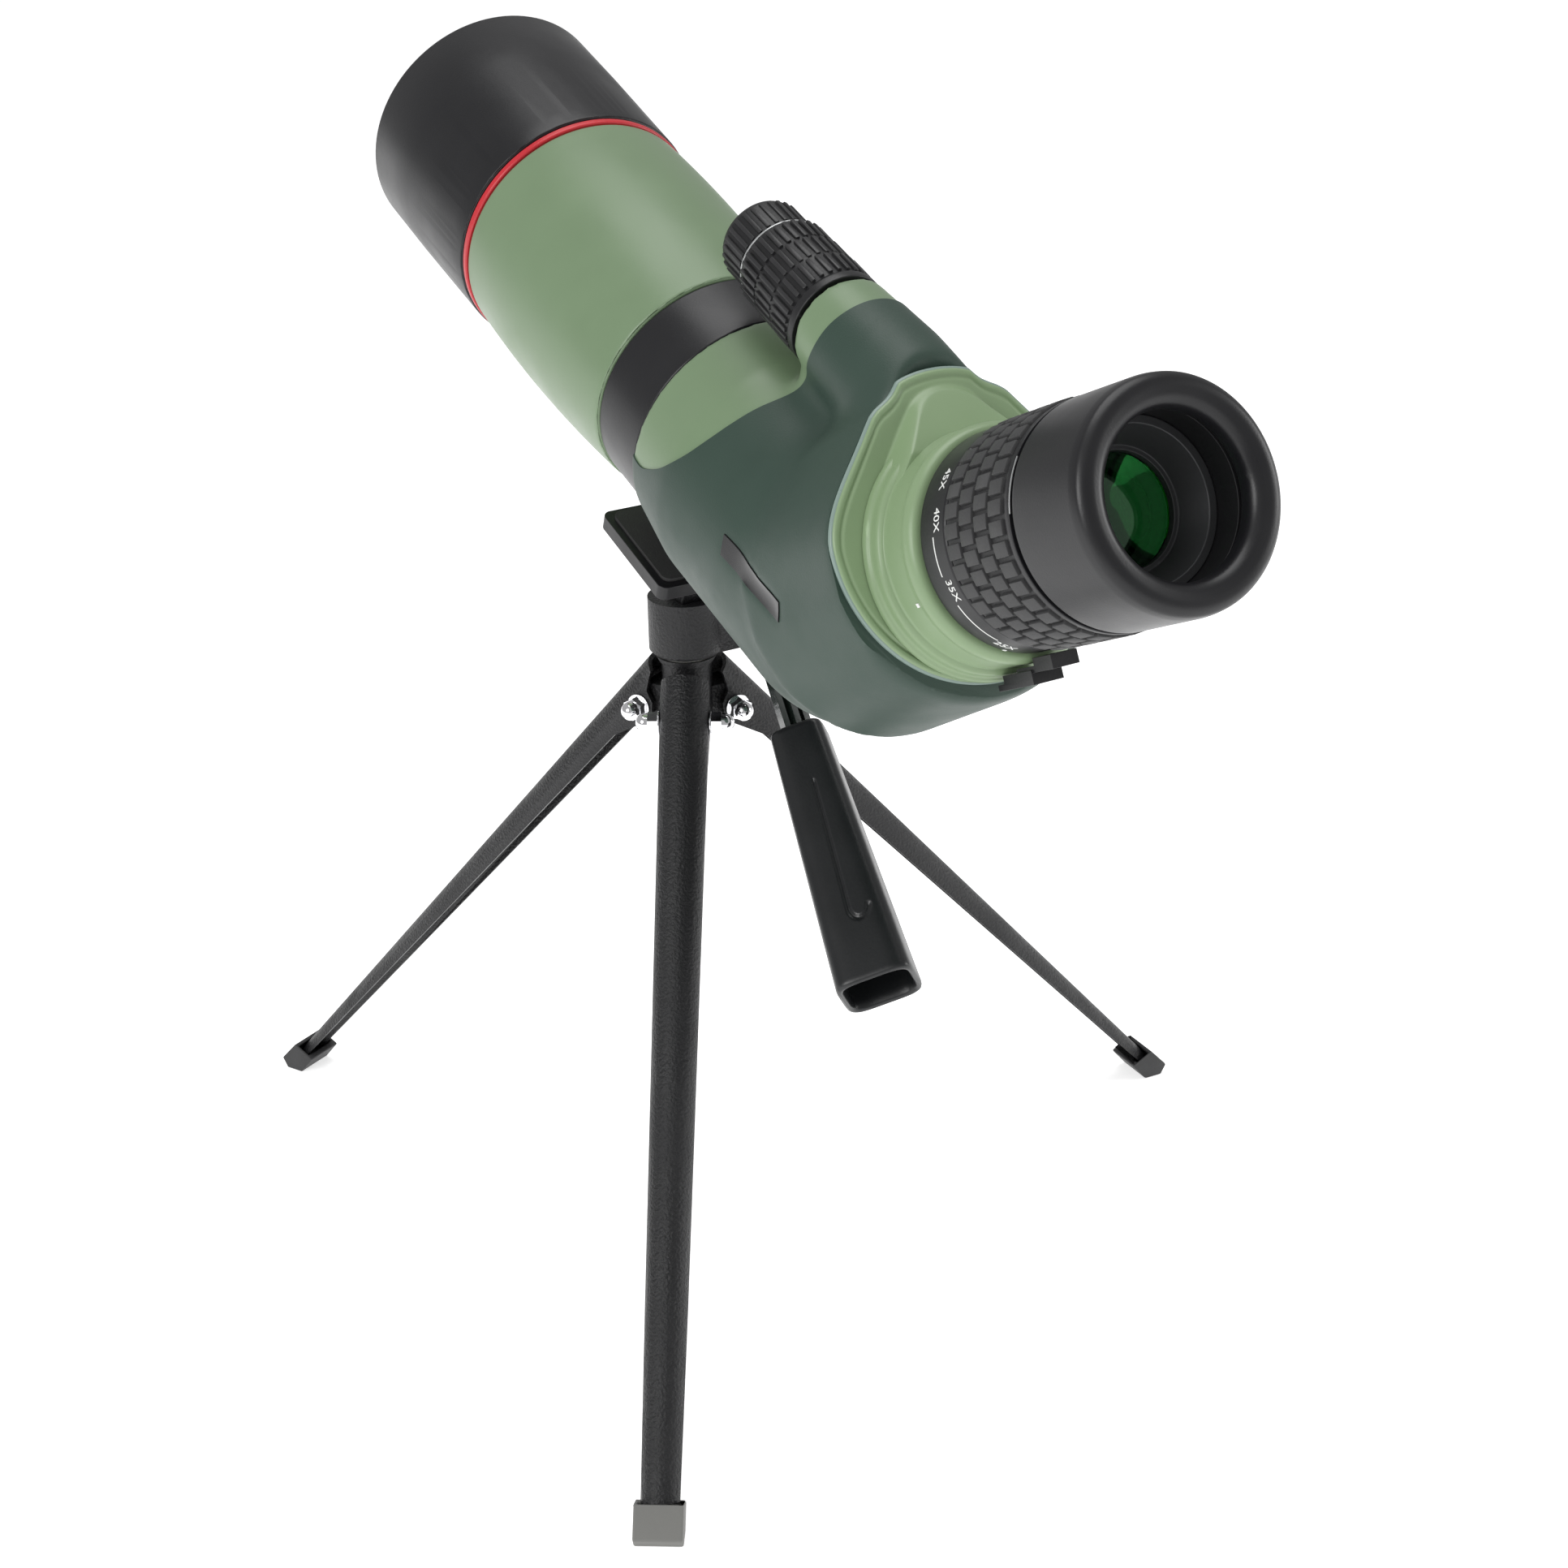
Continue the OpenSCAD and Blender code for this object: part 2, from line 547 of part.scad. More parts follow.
module eyepiece_flange() color([0.6, 0.72, 0.5]) {
    difference() {
        union() {
            difference() {
                rear_form(armour_t + 0.2, flange_e);
                behind_flange(flange_e - 4);
            }
            // Stepped collar
            at_eyepiece() spun([[0, flange_e], [29.6, flange_e], [28.8, flange_e + 1.4],
                [28.2, flange_e + 4.4], [27.4, flange_e + 5], [26.9, flange_e + 5], [26.7, flange_e + 14],
                [26.2, flange_e + 15.5], [25.2, flange_e + 16.5], [0, flange_e + 16.5]]);
            // Teardrop hump that slopes from the panel's top into the collar
            difference() {
                at_eyepiece() translate([0, 0, flange_e]) linear_extrude(8) polygon(concat(
                    [[-27.8, 4], [0, 0], [27.8, 4]],
                    [for (t = [30 : 10 : 150]) [12 * cos(t), 25.6 + 12 * sin(t)]]));
                at_eyepiece() translate([0, 37.6, flange_e]) rotate([-30, 0, 0])
                    translate([-50, -90, 0]) cube([100, 160, 40]);
            }
            // Lug under the collar that the lock slides on
            at_eyepiece() translate([-2.5, -29.6, flange_e]) cube([5, 5, 8.5]);
        }
        at_eyepiece() cylinder(h = 80, r = 21.05, $fn = facets);
    }
}

module eyepiece_lock() color([0.07, 0.07, 0.08]) at_eyepiece() difference() {
    union() {
        translate([-4, -31.2, flange_e + 2.2]) cube([8, 3.3, 14.2]);
        translate([-3.5, -28.6, flange_e + 10]) cube([7, 3.2, 14.4]);
    }
    // Slideway over the lug
    translate([-2.6, -29.7, flange_e]) cube([5.2, 8, 10.6]);
    // Clear of the collar's steps
    cylinder(h = flange_e + 4.8, r = 30, $fn = facets);
    cylinder(h = flange_e + 17.2, r = 27.3, $fn = facets);
}

module eyepiece_tube() color([0.08, 0.08, 0.08]) at_eyepiece() spun([
    [18.6, 41.5], [21, 41.5], [21, 61.6], [20.5, 61.6], [20.5, 98.3], [21.2, 98.3],
    [21.2, 116], [18.6, 116]]);

module field_lens() color([0.7, 0.8, 0.8]) at_eyepiece() spun([[0, 46], [10, 45], [18.5, 44], [18.5, 48],
    [10, 49.4], [0, 50]]);

module zoom_ring() color([0.06, 0.06, 0.07]) at_eyepiece() spun([
    [20.55, 61.9], [24.1, 61.9], [zoom_ring_d / 2, 62.4], [zoom_ring_d / 2, 72.2],
    [23.4, 72.8], [23.4, 96.2],
    [24.8, 96.2], [24.9, 96.6], [24.8, 98], [20.55, 98]]);

module zoom_grip() color([0.07, 0.07, 0.07]) at_eyepiece() {
    ring(24.4, 23.45, 73, 96);
    // Four staggered rows of blocks
    for (row = [0 : 3], i = [0 : 35]) rotate([0, 0, i * 10 + (row % 2) * 5])
        translate([24.2, -1.7, 73.4 + row * 5.7]) cube([1.1, 3.4, 5]);
}

module zoom_carrier() color([0.2, 0.2, 0.2]) at_eyepiece() ring(18.5, 15.6, 62, 74);
module zoom_lens() color([0.7, 0.8, 0.8]) at_eyepiece() spun([
    [0, 64], [8, 64.6], [15.5, 66.4], [15.5, 69.6], [8, 71.4], [0, 72]]);

module eye_lens_cell() color([0.35, 0.36, 0.37]) at_eyepiece() spun([
    [12.3, 98], [18.5, 98], [18.5, 109], [16.6, 109], [13.4, 102.6], [12.3, 102.6]]);

module eye_lens() color([0.5, 0.7, 0.6]) at_eyepiece() spun([
    [0, 97.6], [6, 98.2], [12.2, 99.4], [12.2, 101], [6, 102.6], [0, 103]]);

module eyecup_guide() color([0.2, 0.2, 0.2]) at_eyepiece() ring(22.6, 21.25, 104, 111);

eyecup_r = eyecup_d / 2;
module eyecup() color([0.06, 0.06, 0.07]) at_eyepiece() spun([
    [22.68, 98.6], [24.3, 98.6], [eyecup_r, 99.3], [eyecup_r, 120.4], [eyecup_r - 0.6, 122.2],
    [eyecup_r - 1.8, 123.4], [22, 123.7], [19.6, 123.3], [18.2, 122.4], [17.4, 121],
    [17.4, 118.2], [19.4, 118.2], [22.68, 117.4]]);

crown();
pan_spindle();
pan_washer();
hinge_studs();
hinge_washers();
acorn_nuts();
front_leg();
front_foot();
right_leg();
right_foot();
left_leg();
left_foot();
pan_head();
tilt_bracket();
tilt_shaft();
handle_hub();
handle_shank();
handle_grip();
platform();
platform_pad();
platform_screw();
scope_foot();
foot_bush();
tripod_collar();
barrel();
red_ring();
front_tube();
objective_crown();
objective_flint();
objective_spacer();
objective_retainer();
barrel_baffle();
hood();
hood_bush();
body_shell();
rubber_armour();
nameplate();
prism_frame();
entry_prism();
roof_prism();
coarse_knob();
focus_shaft();
focus_bearing();
fine_knob();
fine_shaft();
focus_carriage();
focusing_lens();
eyepiece_flange();
eyepiece_lock();
eyepiece_tube();
field_lens();
zoom_ring();
zoom_grip();
zoom_carrier();
zoom_lens();
eyecup_guide();
eyecup();
eye_lens_cell();
eye_lens();
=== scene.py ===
import math

import bmesh
import bpy
import numpy as np
from mathutils import Matrix, Vector
from mathutils.bvhtree import BVHTree
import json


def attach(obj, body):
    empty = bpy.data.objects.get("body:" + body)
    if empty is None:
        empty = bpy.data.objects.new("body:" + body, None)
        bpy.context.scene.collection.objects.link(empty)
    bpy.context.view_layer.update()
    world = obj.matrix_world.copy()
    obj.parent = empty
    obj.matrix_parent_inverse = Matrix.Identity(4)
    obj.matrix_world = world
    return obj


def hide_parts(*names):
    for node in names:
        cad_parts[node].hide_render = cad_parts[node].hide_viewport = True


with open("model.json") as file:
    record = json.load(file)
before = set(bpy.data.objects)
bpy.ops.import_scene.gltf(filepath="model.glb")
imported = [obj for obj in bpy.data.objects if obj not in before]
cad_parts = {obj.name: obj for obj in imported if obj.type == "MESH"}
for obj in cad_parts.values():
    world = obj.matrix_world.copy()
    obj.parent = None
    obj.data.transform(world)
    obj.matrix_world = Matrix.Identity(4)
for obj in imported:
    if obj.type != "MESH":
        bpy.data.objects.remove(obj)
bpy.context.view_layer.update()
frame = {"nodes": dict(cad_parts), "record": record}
joint = {j["name"]: j for j in frame["record"]["behaviour"]["joints"]}

# The studio: a pale seamless sweep under soft boxes, and a camera a little above the
# eyepiece. Places are taken from the tripod's pan axis, which stands upright.
MM = 0.001
pan_axis = Vector(joint["pan_turn"]["pos_m"]) * Vector((1, 1, 0))
camera_target = pan_axis + Vector((35.6, 10.0, 120.5)) * MM
camera_distance = 800.1 * MM
azimuth, elevation, roll = math.radians(-30.44), math.radians(24.14), math.radians(-1.07)
back = Vector((math.sin(azimuth) * math.cos(elevation), -math.cos(azimuth) * math.cos(elevation),
               math.sin(elevation)))
level = Vector((math.cos(azimuth), math.sin(azimuth), 0))
right = level * math.cos(roll) + back.cross(level) * math.sin(roll)
camera = bpy.data.objects.new("camera", bpy.data.cameras.new("camera"))
bpy.context.collection.objects.link(camera)
camera.data.lens = 64.3
camera.data.sensor_width = 36
camera.data.clip_start = 0.05
camera.matrix_world = Matrix.Translation(camera_target + back * camera_distance) @ Matrix(
    (right, back.cross(right), back)).transposed().to_4x4()
bpy.context.scene.camera = camera
bpy.context.scene.view_settings.view_transform = "Standard"


def soft_box(name, place, size, power, tint=(1, 1, 1)):
    lamp = bpy.data.objects.new(name, bpy.data.lights.new(name, "AREA"))
    bpy.context.collection.objects.link(lamp)
    lamp.data.shape = "DISK"
    lamp.data.size = size
    lamp.data.energy = power
    lamp.data.color = tint
    lamp.location = pan_axis + Vector(place)
    aim = pan_axis + Vector((0, 0, 0.2)) - lamp.location
    lamp.rotation_euler = aim.to_track_quat("-Z", "Y").to_euler()


soft_box("overhead_box", (0.1, 0.1, 1.5), 1.1, 9)
soft_box("left_box", (-1.3, -0.5, 0.9), 0.8, 10)
soft_box("right_box", (1.2, -0.6, 0.5), 0.6, 4)
sky = bpy.data.worlds.new("studio")
bpy.context.scene.world = sky
sky.use_nodes = True
room = sky.node_tree.nodes["Background"]
room.inputs["Color"].default_value = (1, 1, 1, 1)
room.inputs["Strength"].default_value = 0.42
backdrop = sky.node_tree.nodes.new("ShaderNodeBackground")
backdrop.inputs["Color"].default_value = (1, 1, 1, 1)
either = sky.node_tree.nodes.new("ShaderNodeMixShader")
seen = sky.node_tree.nodes.new("ShaderNodeLightPath")
sky.node_tree.links.new(seen.outputs["Is Camera Ray"], either.inputs["Fac"])
sky.node_tree.links.new(room.outputs["Background"], either.inputs[1])
sky.node_tree.links.new(backdrop.outputs["Background"], either.inputs[2])
sky.node_tree.links.new(either.outputs["Shader"],
                        sky.node_tree.nodes["World Output"].inputs["Surface"])
floor = bpy.data.objects.new("floor", bpy.data.meshes.new("floor"))
bpy.context.collection.objects.link(floor)
floor.data.from_pydata([(-6, -6, 0), (6, -6, 0), (6, 6, 0), (-6, 6, 0)], [], [(0, 1, 2, 3)])
paper = bpy.data.materials.new("paper")
paper.use_nodes = True
paper.node_tree.nodes["Principled BSDF"].inputs["Base Color"].default_value = (0.93, 0.93, 0.93, 1)
paper.node_tree.nodes["Principled BSDF"].inputs["Roughness"].default_value = 0.9
paper.node_tree.nodes["Principled BSDF"].inputs["Emission Color"].default_value = (1, 1, 1, 1)
paper.node_tree.nodes["Principled BSDF"].inputs["Emission Strength"].default_value = 0.6
floor.data.materials.append(paper)


# Surface character shared by the finishes: a fine grain for paint and rubber, a broad
# mottle that breaks up colour and gloss, and a mask that finds worn edges.
def grain_group():
    group = bpy.data.node_groups.new("surface_grain", "ShaderNodeTree")
    sockets = group.interface
    for label, start in (("Grain Scale", 900), ("Mottle Scale", 60), ("Wear", 0.3)):
        made = sockets.new_socket(label, in_out="INPUT", socket_type="NodeSocketFloat")
        made.default_value = start
    for label in ("Height", "Mottle", "Edge"):
        sockets.new_socket(label, in_out="OUTPUT", socket_type="NodeSocketFloat")
    n, link = group.nodes, group.links.new
    entry, leave = n.new("NodeGroupInput"), n.new("NodeGroupOutput")
    coords = n.new("ShaderNodeTexCoord")
    grain, broad = n.new("ShaderNodeTexNoise"), n.new("ShaderNodeTexNoise")
    grain.inputs["Detail"].default_value = 4
    broad.inputs["Detail"].default_value = 5
    link(coords.outputs["Object"], grain.inputs["Vector"])
    link(coords.outputs["Object"], broad.inputs["Vector"])
    link(entry.outputs["Grain Scale"], grain.inputs["Scale"])
    link(entry.outputs["Mottle Scale"], broad.inputs["Scale"])
    shape = n.new("ShaderNodeNewGeometry")
    edge = n.new("ShaderNodeMapRange")
    edge.inputs["From Min"].default_value = 0.52
    edge.inputs["From Max"].default_value = 0.62
    link(shape.outputs["Pointiness"], edge.inputs["Value"])
    worn = n.new("ShaderNodeMath")
    worn.operation = "MULTIPLY"
    link(edge.outputs["Result"], worn.inputs[0])
    link(entry.outputs["Wear"], worn.inputs[1])
    link(grain.outputs["Fac"], leave.inputs["Height"])
    link(broad.outputs["Fac"], leave.inputs["Mottle"])
    link(worn.outputs["Value"], leave.inputs["Edge"])
    return group


surface_grain = grain_group()


def finish(name, colour, gloss, metal=0.0, grain=900, depth=0.00005, mottle=60, vary=0.12,
           wear=0.3, coat=0.0, specular=0.5):
    """A coated or moulded surface: gloss is (smooth, rough) roughness over the mottle."""
    made = bpy.data.materials.new(name)
    made.use_nodes = True
    n, link = made.node_tree.nodes, made.node_tree.links.new
    shader = n["Principled BSDF"]
    shader.inputs["Metallic"].default_value = metal
    shader.inputs["Coat Weight"].default_value = coat
    shader.inputs["Coat Roughness"].default_value = 0.12
    shader.inputs["Specular IOR Level"].default_value = specular
    skin = n.new("ShaderNodeGroup")
    skin.node_tree = surface_grain
    skin.inputs["Grain Scale"].default_value = grain
    skin.inputs["Mottle Scale"].default_value = mottle
    skin.inputs["Wear"].default_value = wear
    shade = n.new("ShaderNodeMix")
    shade.data_type = "RGBA"
    shade.inputs["A"].default_value = (*[c * (1 - vary) for c in colour], 1)
    shade.inputs["B"].default_value = (*[min(1, c * (1 + vary)) for c in colour], 1)
    rubbed = n.new("ShaderNodeMix")
    rubbed.data_type = "RGBA"
    rubbed.inputs["B"].default_value = (*[min(1, c * 1.6 + 0.05) for c in colour], 1)
    rough = n.new("ShaderNodeMapRange")
    rough.inputs["From Min"].default_value = 0.3
    rough.inputs["From Max"].default_value = 0.7
    rough.inputs["To Min"].default_value = gloss[0]
    rough.inputs["To Max"].default_value = gloss[1]
    bump = n.new("ShaderNodeBump")
    bump.inputs["Distance"].default_value = depth
    link(skin.outputs["Mottle"], shade.inputs["Factor"])
    link(shade.outputs["Result"], rubbed.inputs["A"])
    link(skin.outputs["Edge"], rubbed.inputs["Factor"])
    link(rubbed.outputs["Result"], shader.inputs["Base Color"])
    link(skin.outputs["Mottle"], rough.inputs["Value"])
    link(rough.outputs["Result"], shader.inputs["Roughness"])
    link(skin.outputs["Height"], bump.inputs["Height"])
    link(bump.outputs["Normal"], shader.inputs["Normal"])
    return made


# Crown and leg hinges: a zinc casting in black wrinkle paint, with three bored lugs. Each
# leg turns on a steel stud with a plated washer and a domed nut at either end.
wrinkle_paint = finish("wrinkle_paint", (0.008, 0.008, 0.009), (0.36, 0.52), grain=1300,
                       depth=0.0004, vary=0.2, wear=0.25, specular=0.42)
chrome = finish("nickel_chrome", (0.86, 0.86, 0.88), (0.06, 0.16), metal=1.0, grain=300,
                depth=0.00001, vary=0.04, wear=0.0)
steel = finish("turned_steel", (0.55, 0.55, 0.57), (0.22, 0.4), metal=1.0, grain=800,
               depth=0.00002, vary=0.08, wear=0.2)


def show(piece, material, body, *stands_for):
    """Gives a finished piece its material and its body, and hides the nodes it stands for."""
    piece.data.materials.clear()
    piece.data.materials.append(material)
    if stands_for:
        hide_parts(*stands_for)
    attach(piece, body)
    return piece


def new_piece(name, bm, crisp=32):
    """A piece from bmesh geometry, smooth except over edges sharper than crisp degrees."""
    mesh = bpy.data.meshes.new(name)
    bm.to_mesh(mesh)
    bm.free()
    mesh.shade_smooth()
    mesh.set_sharp_from_angle(angle=math.radians(crisp))
    piece = bpy.data.objects.new(name, mesh)
    bpy.context.collection.objects.link(piece)
    return piece


def soften(node, body, material, edge, crisp=32):
    """A copy of a node's shape with its sharp edges broken by a small round."""
    bm = bmesh.new()
    bm.from_mesh(frame["nodes"][node].data)
    bmesh.ops.remove_doubles(bm, verts=bm.verts, dist=0.00001)
    bmesh.ops.dissolve_limit(bm, angle_limit=math.radians(0.6), verts=bm.verts, edges=bm.edges)
    piece = new_piece(node + "_finished", bm, crisp)
    if edge:
        broken = piece.modifiers.new("broken_edges", "BEVEL")
        broken.width = edge * MM
        broken.segments = 3
        broken.limit_method = "ANGLE"
        broken.angle_limit = math.radians(crisp)
        broken.harden_normals = True
    return show(piece, material, body, node)


soften("crown", "tripod", wrinkle_paint, 0.5)
soften("hinge_studs", "tripod", steel, 0.15)
soften("hinge_washers", "tripod", chrome, 0.12)
soften("acorn_nuts", "tripod", chrome, 0.12, crisp=25)
soften("pan_spindle", "tripod", steel, 0.2)

# Legs: channels pressed from steel strip, painted like the crown. The front foot is a grey
# moulded boot, and the two rear ones are black wedges.
grey_rubber = finish("grey_boot_rubber", (0.16, 0.16, 0.15), (0.55, 0.75), grain=1300,
                     depth=0.00006, vary=0.12, wear=0.5)
black_rubber = finish("black_boot_rubber", (0.02, 0.02, 0.021), (0.5, 0.7), grain=1300,
                      depth=0.00006, vary=0.15, wear=0.5)
for side, boot in (("front", grey_rubber), ("right", black_rubber), ("left", black_rubber)):
    soften(side + "_leg", "leg_" + side, wrinkle_paint, 0.35)
    soften(side + "_foot", "leg_" + side, boot, 1.1)

# Pan and tilt head: a round casting slotted for a tongue that carries the platform, all
# clamped by the steel tilt shaft. A nylon washer lets it pan.
nylon = finish("nylon_washer", (0.5, 0.5, 0.46), (0.4, 0.5))
soften("pan_washer", "tripod", nylon, 0.1)
soften("pan_head", "pan", wrinkle_paint, 0.9)
soften("tilt_bracket", "scope", wrinkle_paint, 0.4)
soften("tilt_shaft", "scope", steel, 0.3)
soften("handle_hub", "scope", wrinkle_paint, 0.8)

# Platform: a moulded plate with round corners, a thin pad, and a captive camera screw.
moulded_black = finish("moulded_black", (0.009, 0.009, 0.01), (0.3, 0.44), grain=1400,
                       depth=0.00003, vary=0.15, wear=0.35, specular=0.4)
pad_rubber = finish("pad_rubber", (0.03, 0.03, 0.03), (0.7, 0.85), grain=1800, depth=0.0001)
soften("platform", "scope", moulded_black, 0.9)
soften("platform_pad", "scope", pad_rubber, 0.2)
soften("platform_screw", "camera_screw", moulded_black, 0.15)

# Handle: a glossy cross-ribbed shank that screws into the hub, and a hollow grip moulded
# over it, square with round corners and open at the end.
shank_plastic = finish("shank_plastic", (0.012, 0.018, 0.015), (0.14, 0.24), depth=0.00001)
grip_plastic = finish("grip_plastic", (0.011, 0.012, 0.013), (0.26, 0.38), grain=1100,
                      depth=0.00003, vary=0.12, wear=0.45, specular=0.45)
soften("handle_shank", "handle", shank_plastic, 0.3)


def axes(origin, x, y, z):
    """Places a piece drawn in millimetres: its local axes lie along x, y and z."""
    return (Matrix.Translation(origin) @ Matrix((x, y, z)).transposed().to_4x4()
            @ Matrix.Scale(MM, 4))


outward = Vector(joint["handle_twist"]["axis"]).normalized()
level_across = Vector((0, 0, 1)).cross(outward).normalized()
on_handle = axes(Vector(joint["handle_twist"]["pos_m"]), level_across,
                 outward.cross(level_across), outward)
grip_low, grip_high, grip_sides = 44, 121, 288
closed_half, open_half = 7.2, 10.3
section_turn = math.radians(25)
# A moulded groove with a hooked end, as (degrees round the grip, height along it)
groove_foot, groove_bend, hook_reach, hook_rise = (109.5, 63), (118, 101), 15, 3.2
groove = [(groove_foot[0] + (groove_bend[0] - groove_foot[0]) * t,
           groove_foot[1] + (groove_bend[1] - groove_foot[1]) * t)
          for t in np.linspace(0, 1, 40)]
groove += [(groove_bend[0] - hook_reach + hook_reach * math.cos(a),
            groove_bend[1] + hook_rise * math.sin(a))
           for a in np.linspace(0.15, 0.95 * math.pi, 24)]


def grip_depth(turn, height):
    """How deep the moulded groove is at a spot on the grip."""
    if not (61 < height < 107 and 80 < math.degrees(turn) < 128):
        return 0
    mm_per_degree, depth, half_width = 0.165, 0.5, 0.75
    near = min(math.hypot((math.degrees(turn) - a) * mm_per_degree, height - h)
               for a, h in groove)
    return depth * max(0, 1 - (near / half_width) ** 2)


# Loops from the rounded shoulder to the open rim, and back inside to the socket's floor:
# (height, whether the groove is cut, how far in from the outer wall)
grip = bmesh.new()
stations = [(44.0, 0, 3.0), (44.0, 0, 1.6), (44.25, 0, 0.8), (44.8, 0, 0.25), (45.6, 0, 0)]
stations += [(z, 1, 0) for z in np.arange(46.2, 119.6, 0.45)]
stations += [(120.2, 0, 0.08), (120.7, 0, 0.3), (121, 0, 0.8), (120.8, 0, 1.35),
             (120.2, 0, 1.65), (118, 0, 1.75), (100, 0, 1.9), (96.5, 0, 2.4), (96, 0, 3.4)]
loops = []
for height, grooved, inset in stations:
    widening = (height - grip_low) / (grip_high - grip_low)
    half = closed_half + (open_half - closed_half) * widening - inset
    loop = []
    for i in range(grip_sides):
        turn = 2 * math.pi * i / grip_sides
        flat = turn - section_turn
        reach = half * (abs(math.cos(flat)) ** 5 + abs(math.sin(flat)) ** 5) ** -0.2
        if grooved:
            reach -= grip_depth(turn, height)
        loop.append(grip.verts.new(on_handle @ Vector((reach * math.cos(turn),
                                                       reach * math.sin(turn), height))))
    loops.append(loop)
for a, b in zip(loops, loops[1:]):
    for i in range(grip_sides):
        j = (i + 1) % grip_sides
        grip.faces.new((a[i], a[j], b[j], b[i]))
grip.faces.new(loops[0][::-1])
grip.faces.new(loops[-1])
bmesh.ops.recalc_face_normals(grip, faces=grip.faces)
show(new_piece("handle_sleeve", grip, crisp=50), grip_plastic, "handle", "handle_grip")

# Mounting foot, its brass thread bush, and the collar that carries the tube.
brass = finish("turned_brass", (0.62, 0.44, 0.16), (0.25, 0.4), metal=1.0, depth=0.00002)
satin_black = finish("satin_black", (0.008, 0.008, 0.0095), (0.3, 0.4), grain=2200,
                     depth=0.00002, vary=0.1, wear=0.25, specular=0.42)
soften("scope_foot", "scope", satin_black, 0.6)
soften("foot_bush", "scope", brass, 0.2)
soften("tripod_collar", "scope", satin_black, 0.25)

# Barrel and red ring: the barrel is a drawn aluminium tube in pale green satin paint.
green_paint = finish("green_paint", (0.158, 0.232, 0.132), (0.3, 0.42), grain=2600,
                     depth=0.00002, vary=0.06, wear=0.3)
red_paint = finish("red_paint", (0.5, 0.02, 0.03), (0.25, 0.35), depth=0.00001, wear=0.3)
matt_black = finish("matt_black_anodised", (0.008, 0.008, 0.009), (0.5, 0.65), depth=0.00003,
                    specular=0.4)
soften("barrel", "scope", green_paint, 0.7)
soften("red_ring", "scope", red_paint, 0.25)
soften("front_tube", "scope", matt_black, 0.2)
for node in ("objective_spacer", "objective_retainer", "barrel_baffle"):
    soften(node, "scope", matt_black, 0.15)


# Lenses: polished glass with a coating whose reflection is green.
def coated_glass(name, tint):
    made = bpy.data.materials.new(name)
    made.use_nodes = True
    n, link = made.node_tree.nodes, made.node_tree.links.new
    shader = n["Principled BSDF"]
    shader.inputs["Transmission Weight"].default_value = 1.0
    shader.inputs["IOR"].default_value = 1.52
    shader.inputs["Coat Weight"].default_value = 1.0
    shader.inputs["Coat Tint"].default_value = (*tint, 1)
    shader.inputs["Specular Tint"].default_value = (*tint, 1)
    skin = n.new("ShaderNodeGroup")
    skin.node_tree = surface_grain
    skin.inputs["Mottle Scale"].default_value = 40
    shade = n.new("ShaderNodeMapRange")
    shade.inputs["To Min"].default_value = 0.01
    shade.inputs["To Max"].default_value = 0.05
    link(skin.outputs["Mottle"], shade.inputs["Value"])
    link(shade.outputs["Result"], shader.inputs["Roughness"])
    shader.inputs["Base Color"].default_value = (0.9, 0.97, 0.93, 1)
    return made


lens_glass = coated_glass("coated_glass", (0.45, 1.0, 0.6))
for node, body in (("objective_crown", "scope"), ("objective_flint", "scope"),
                   ("focusing_lens", "focus_group"), ("entry_prism", "scope"),
                   ("roof_prism", "scope"), ("field_lens", "scope"),
                   ("zoom_lens", "zoom_group"), ("eye_lens", "scope")):
    soften(node, body, lens_glass, 0)

# Sunshade: a turned aluminium tube that slides forward on a plastic bush.
soften("hood", "sunshade", satin_black, 0.4)
soften("hood_bush", "sunshade", moulded_black, 0.1)

# Housing: a cast elbow that holds the prisms, in green satin paint at the front. It swells
# smoothly into the shroud of the focus knobs, and its rear two thirds carry a moulded skin
# of dark green rubber with a wavy front edge.
across = Vector((1, 0, 0))
along = Vector(joint["sunshade_slide"]["axis"])
sight = Vector(joint["zoom_turn"]["axis"])
upright, rise = across.cross(along), sight.cross(across)
knob_height, elbow_back = 49.3, 50.9
main_origin = Vector(joint["coarse_focus"]["pos_m"]) - upright * knob_height * MM
elbow = main_origin - along * elbow_back * MM


in_scope = axes(main_origin, across, along, upright)
on_barrel = axes(main_origin, across, -upright, along)
on_knob = axes(main_origin + upright * knob_height * MM, across, -upright, along)
on_eyepiece = axes(elbow, across, rise, sight)


def evaluated(piece, name):
    """A plain mesh object of a piece with its modifiers worked in."""
    mesh = bpy.data.meshes.new_from_object(piece.evaluated_get(
        bpy.context.evaluated_depsgraph_get()))
    mesh.name = name
    made = bpy.data.objects.new(name, mesh)
    bpy.context.collection.objects.link(made)
    bpy.data.objects.remove(piece)
    return made


def largest_island(bm):
    """Drops every closed surface but the one with the most faces."""
    left, islands = set(bm.verts), []
    while left:
        island, stack = [], [left.pop()]
        while stack:
            vert = stack.pop()
            island.append(vert)
            for edge in vert.link_edges:
                other = edge.other_vert(vert)
                if other in left:
                    left.remove(other)
                    stack.append(other)
        islands.append(island)
    islands.sort(key=len)
    for island in islands[:-1]:
        bmesh.ops.delete(bm, geom=island, context="VERTS")


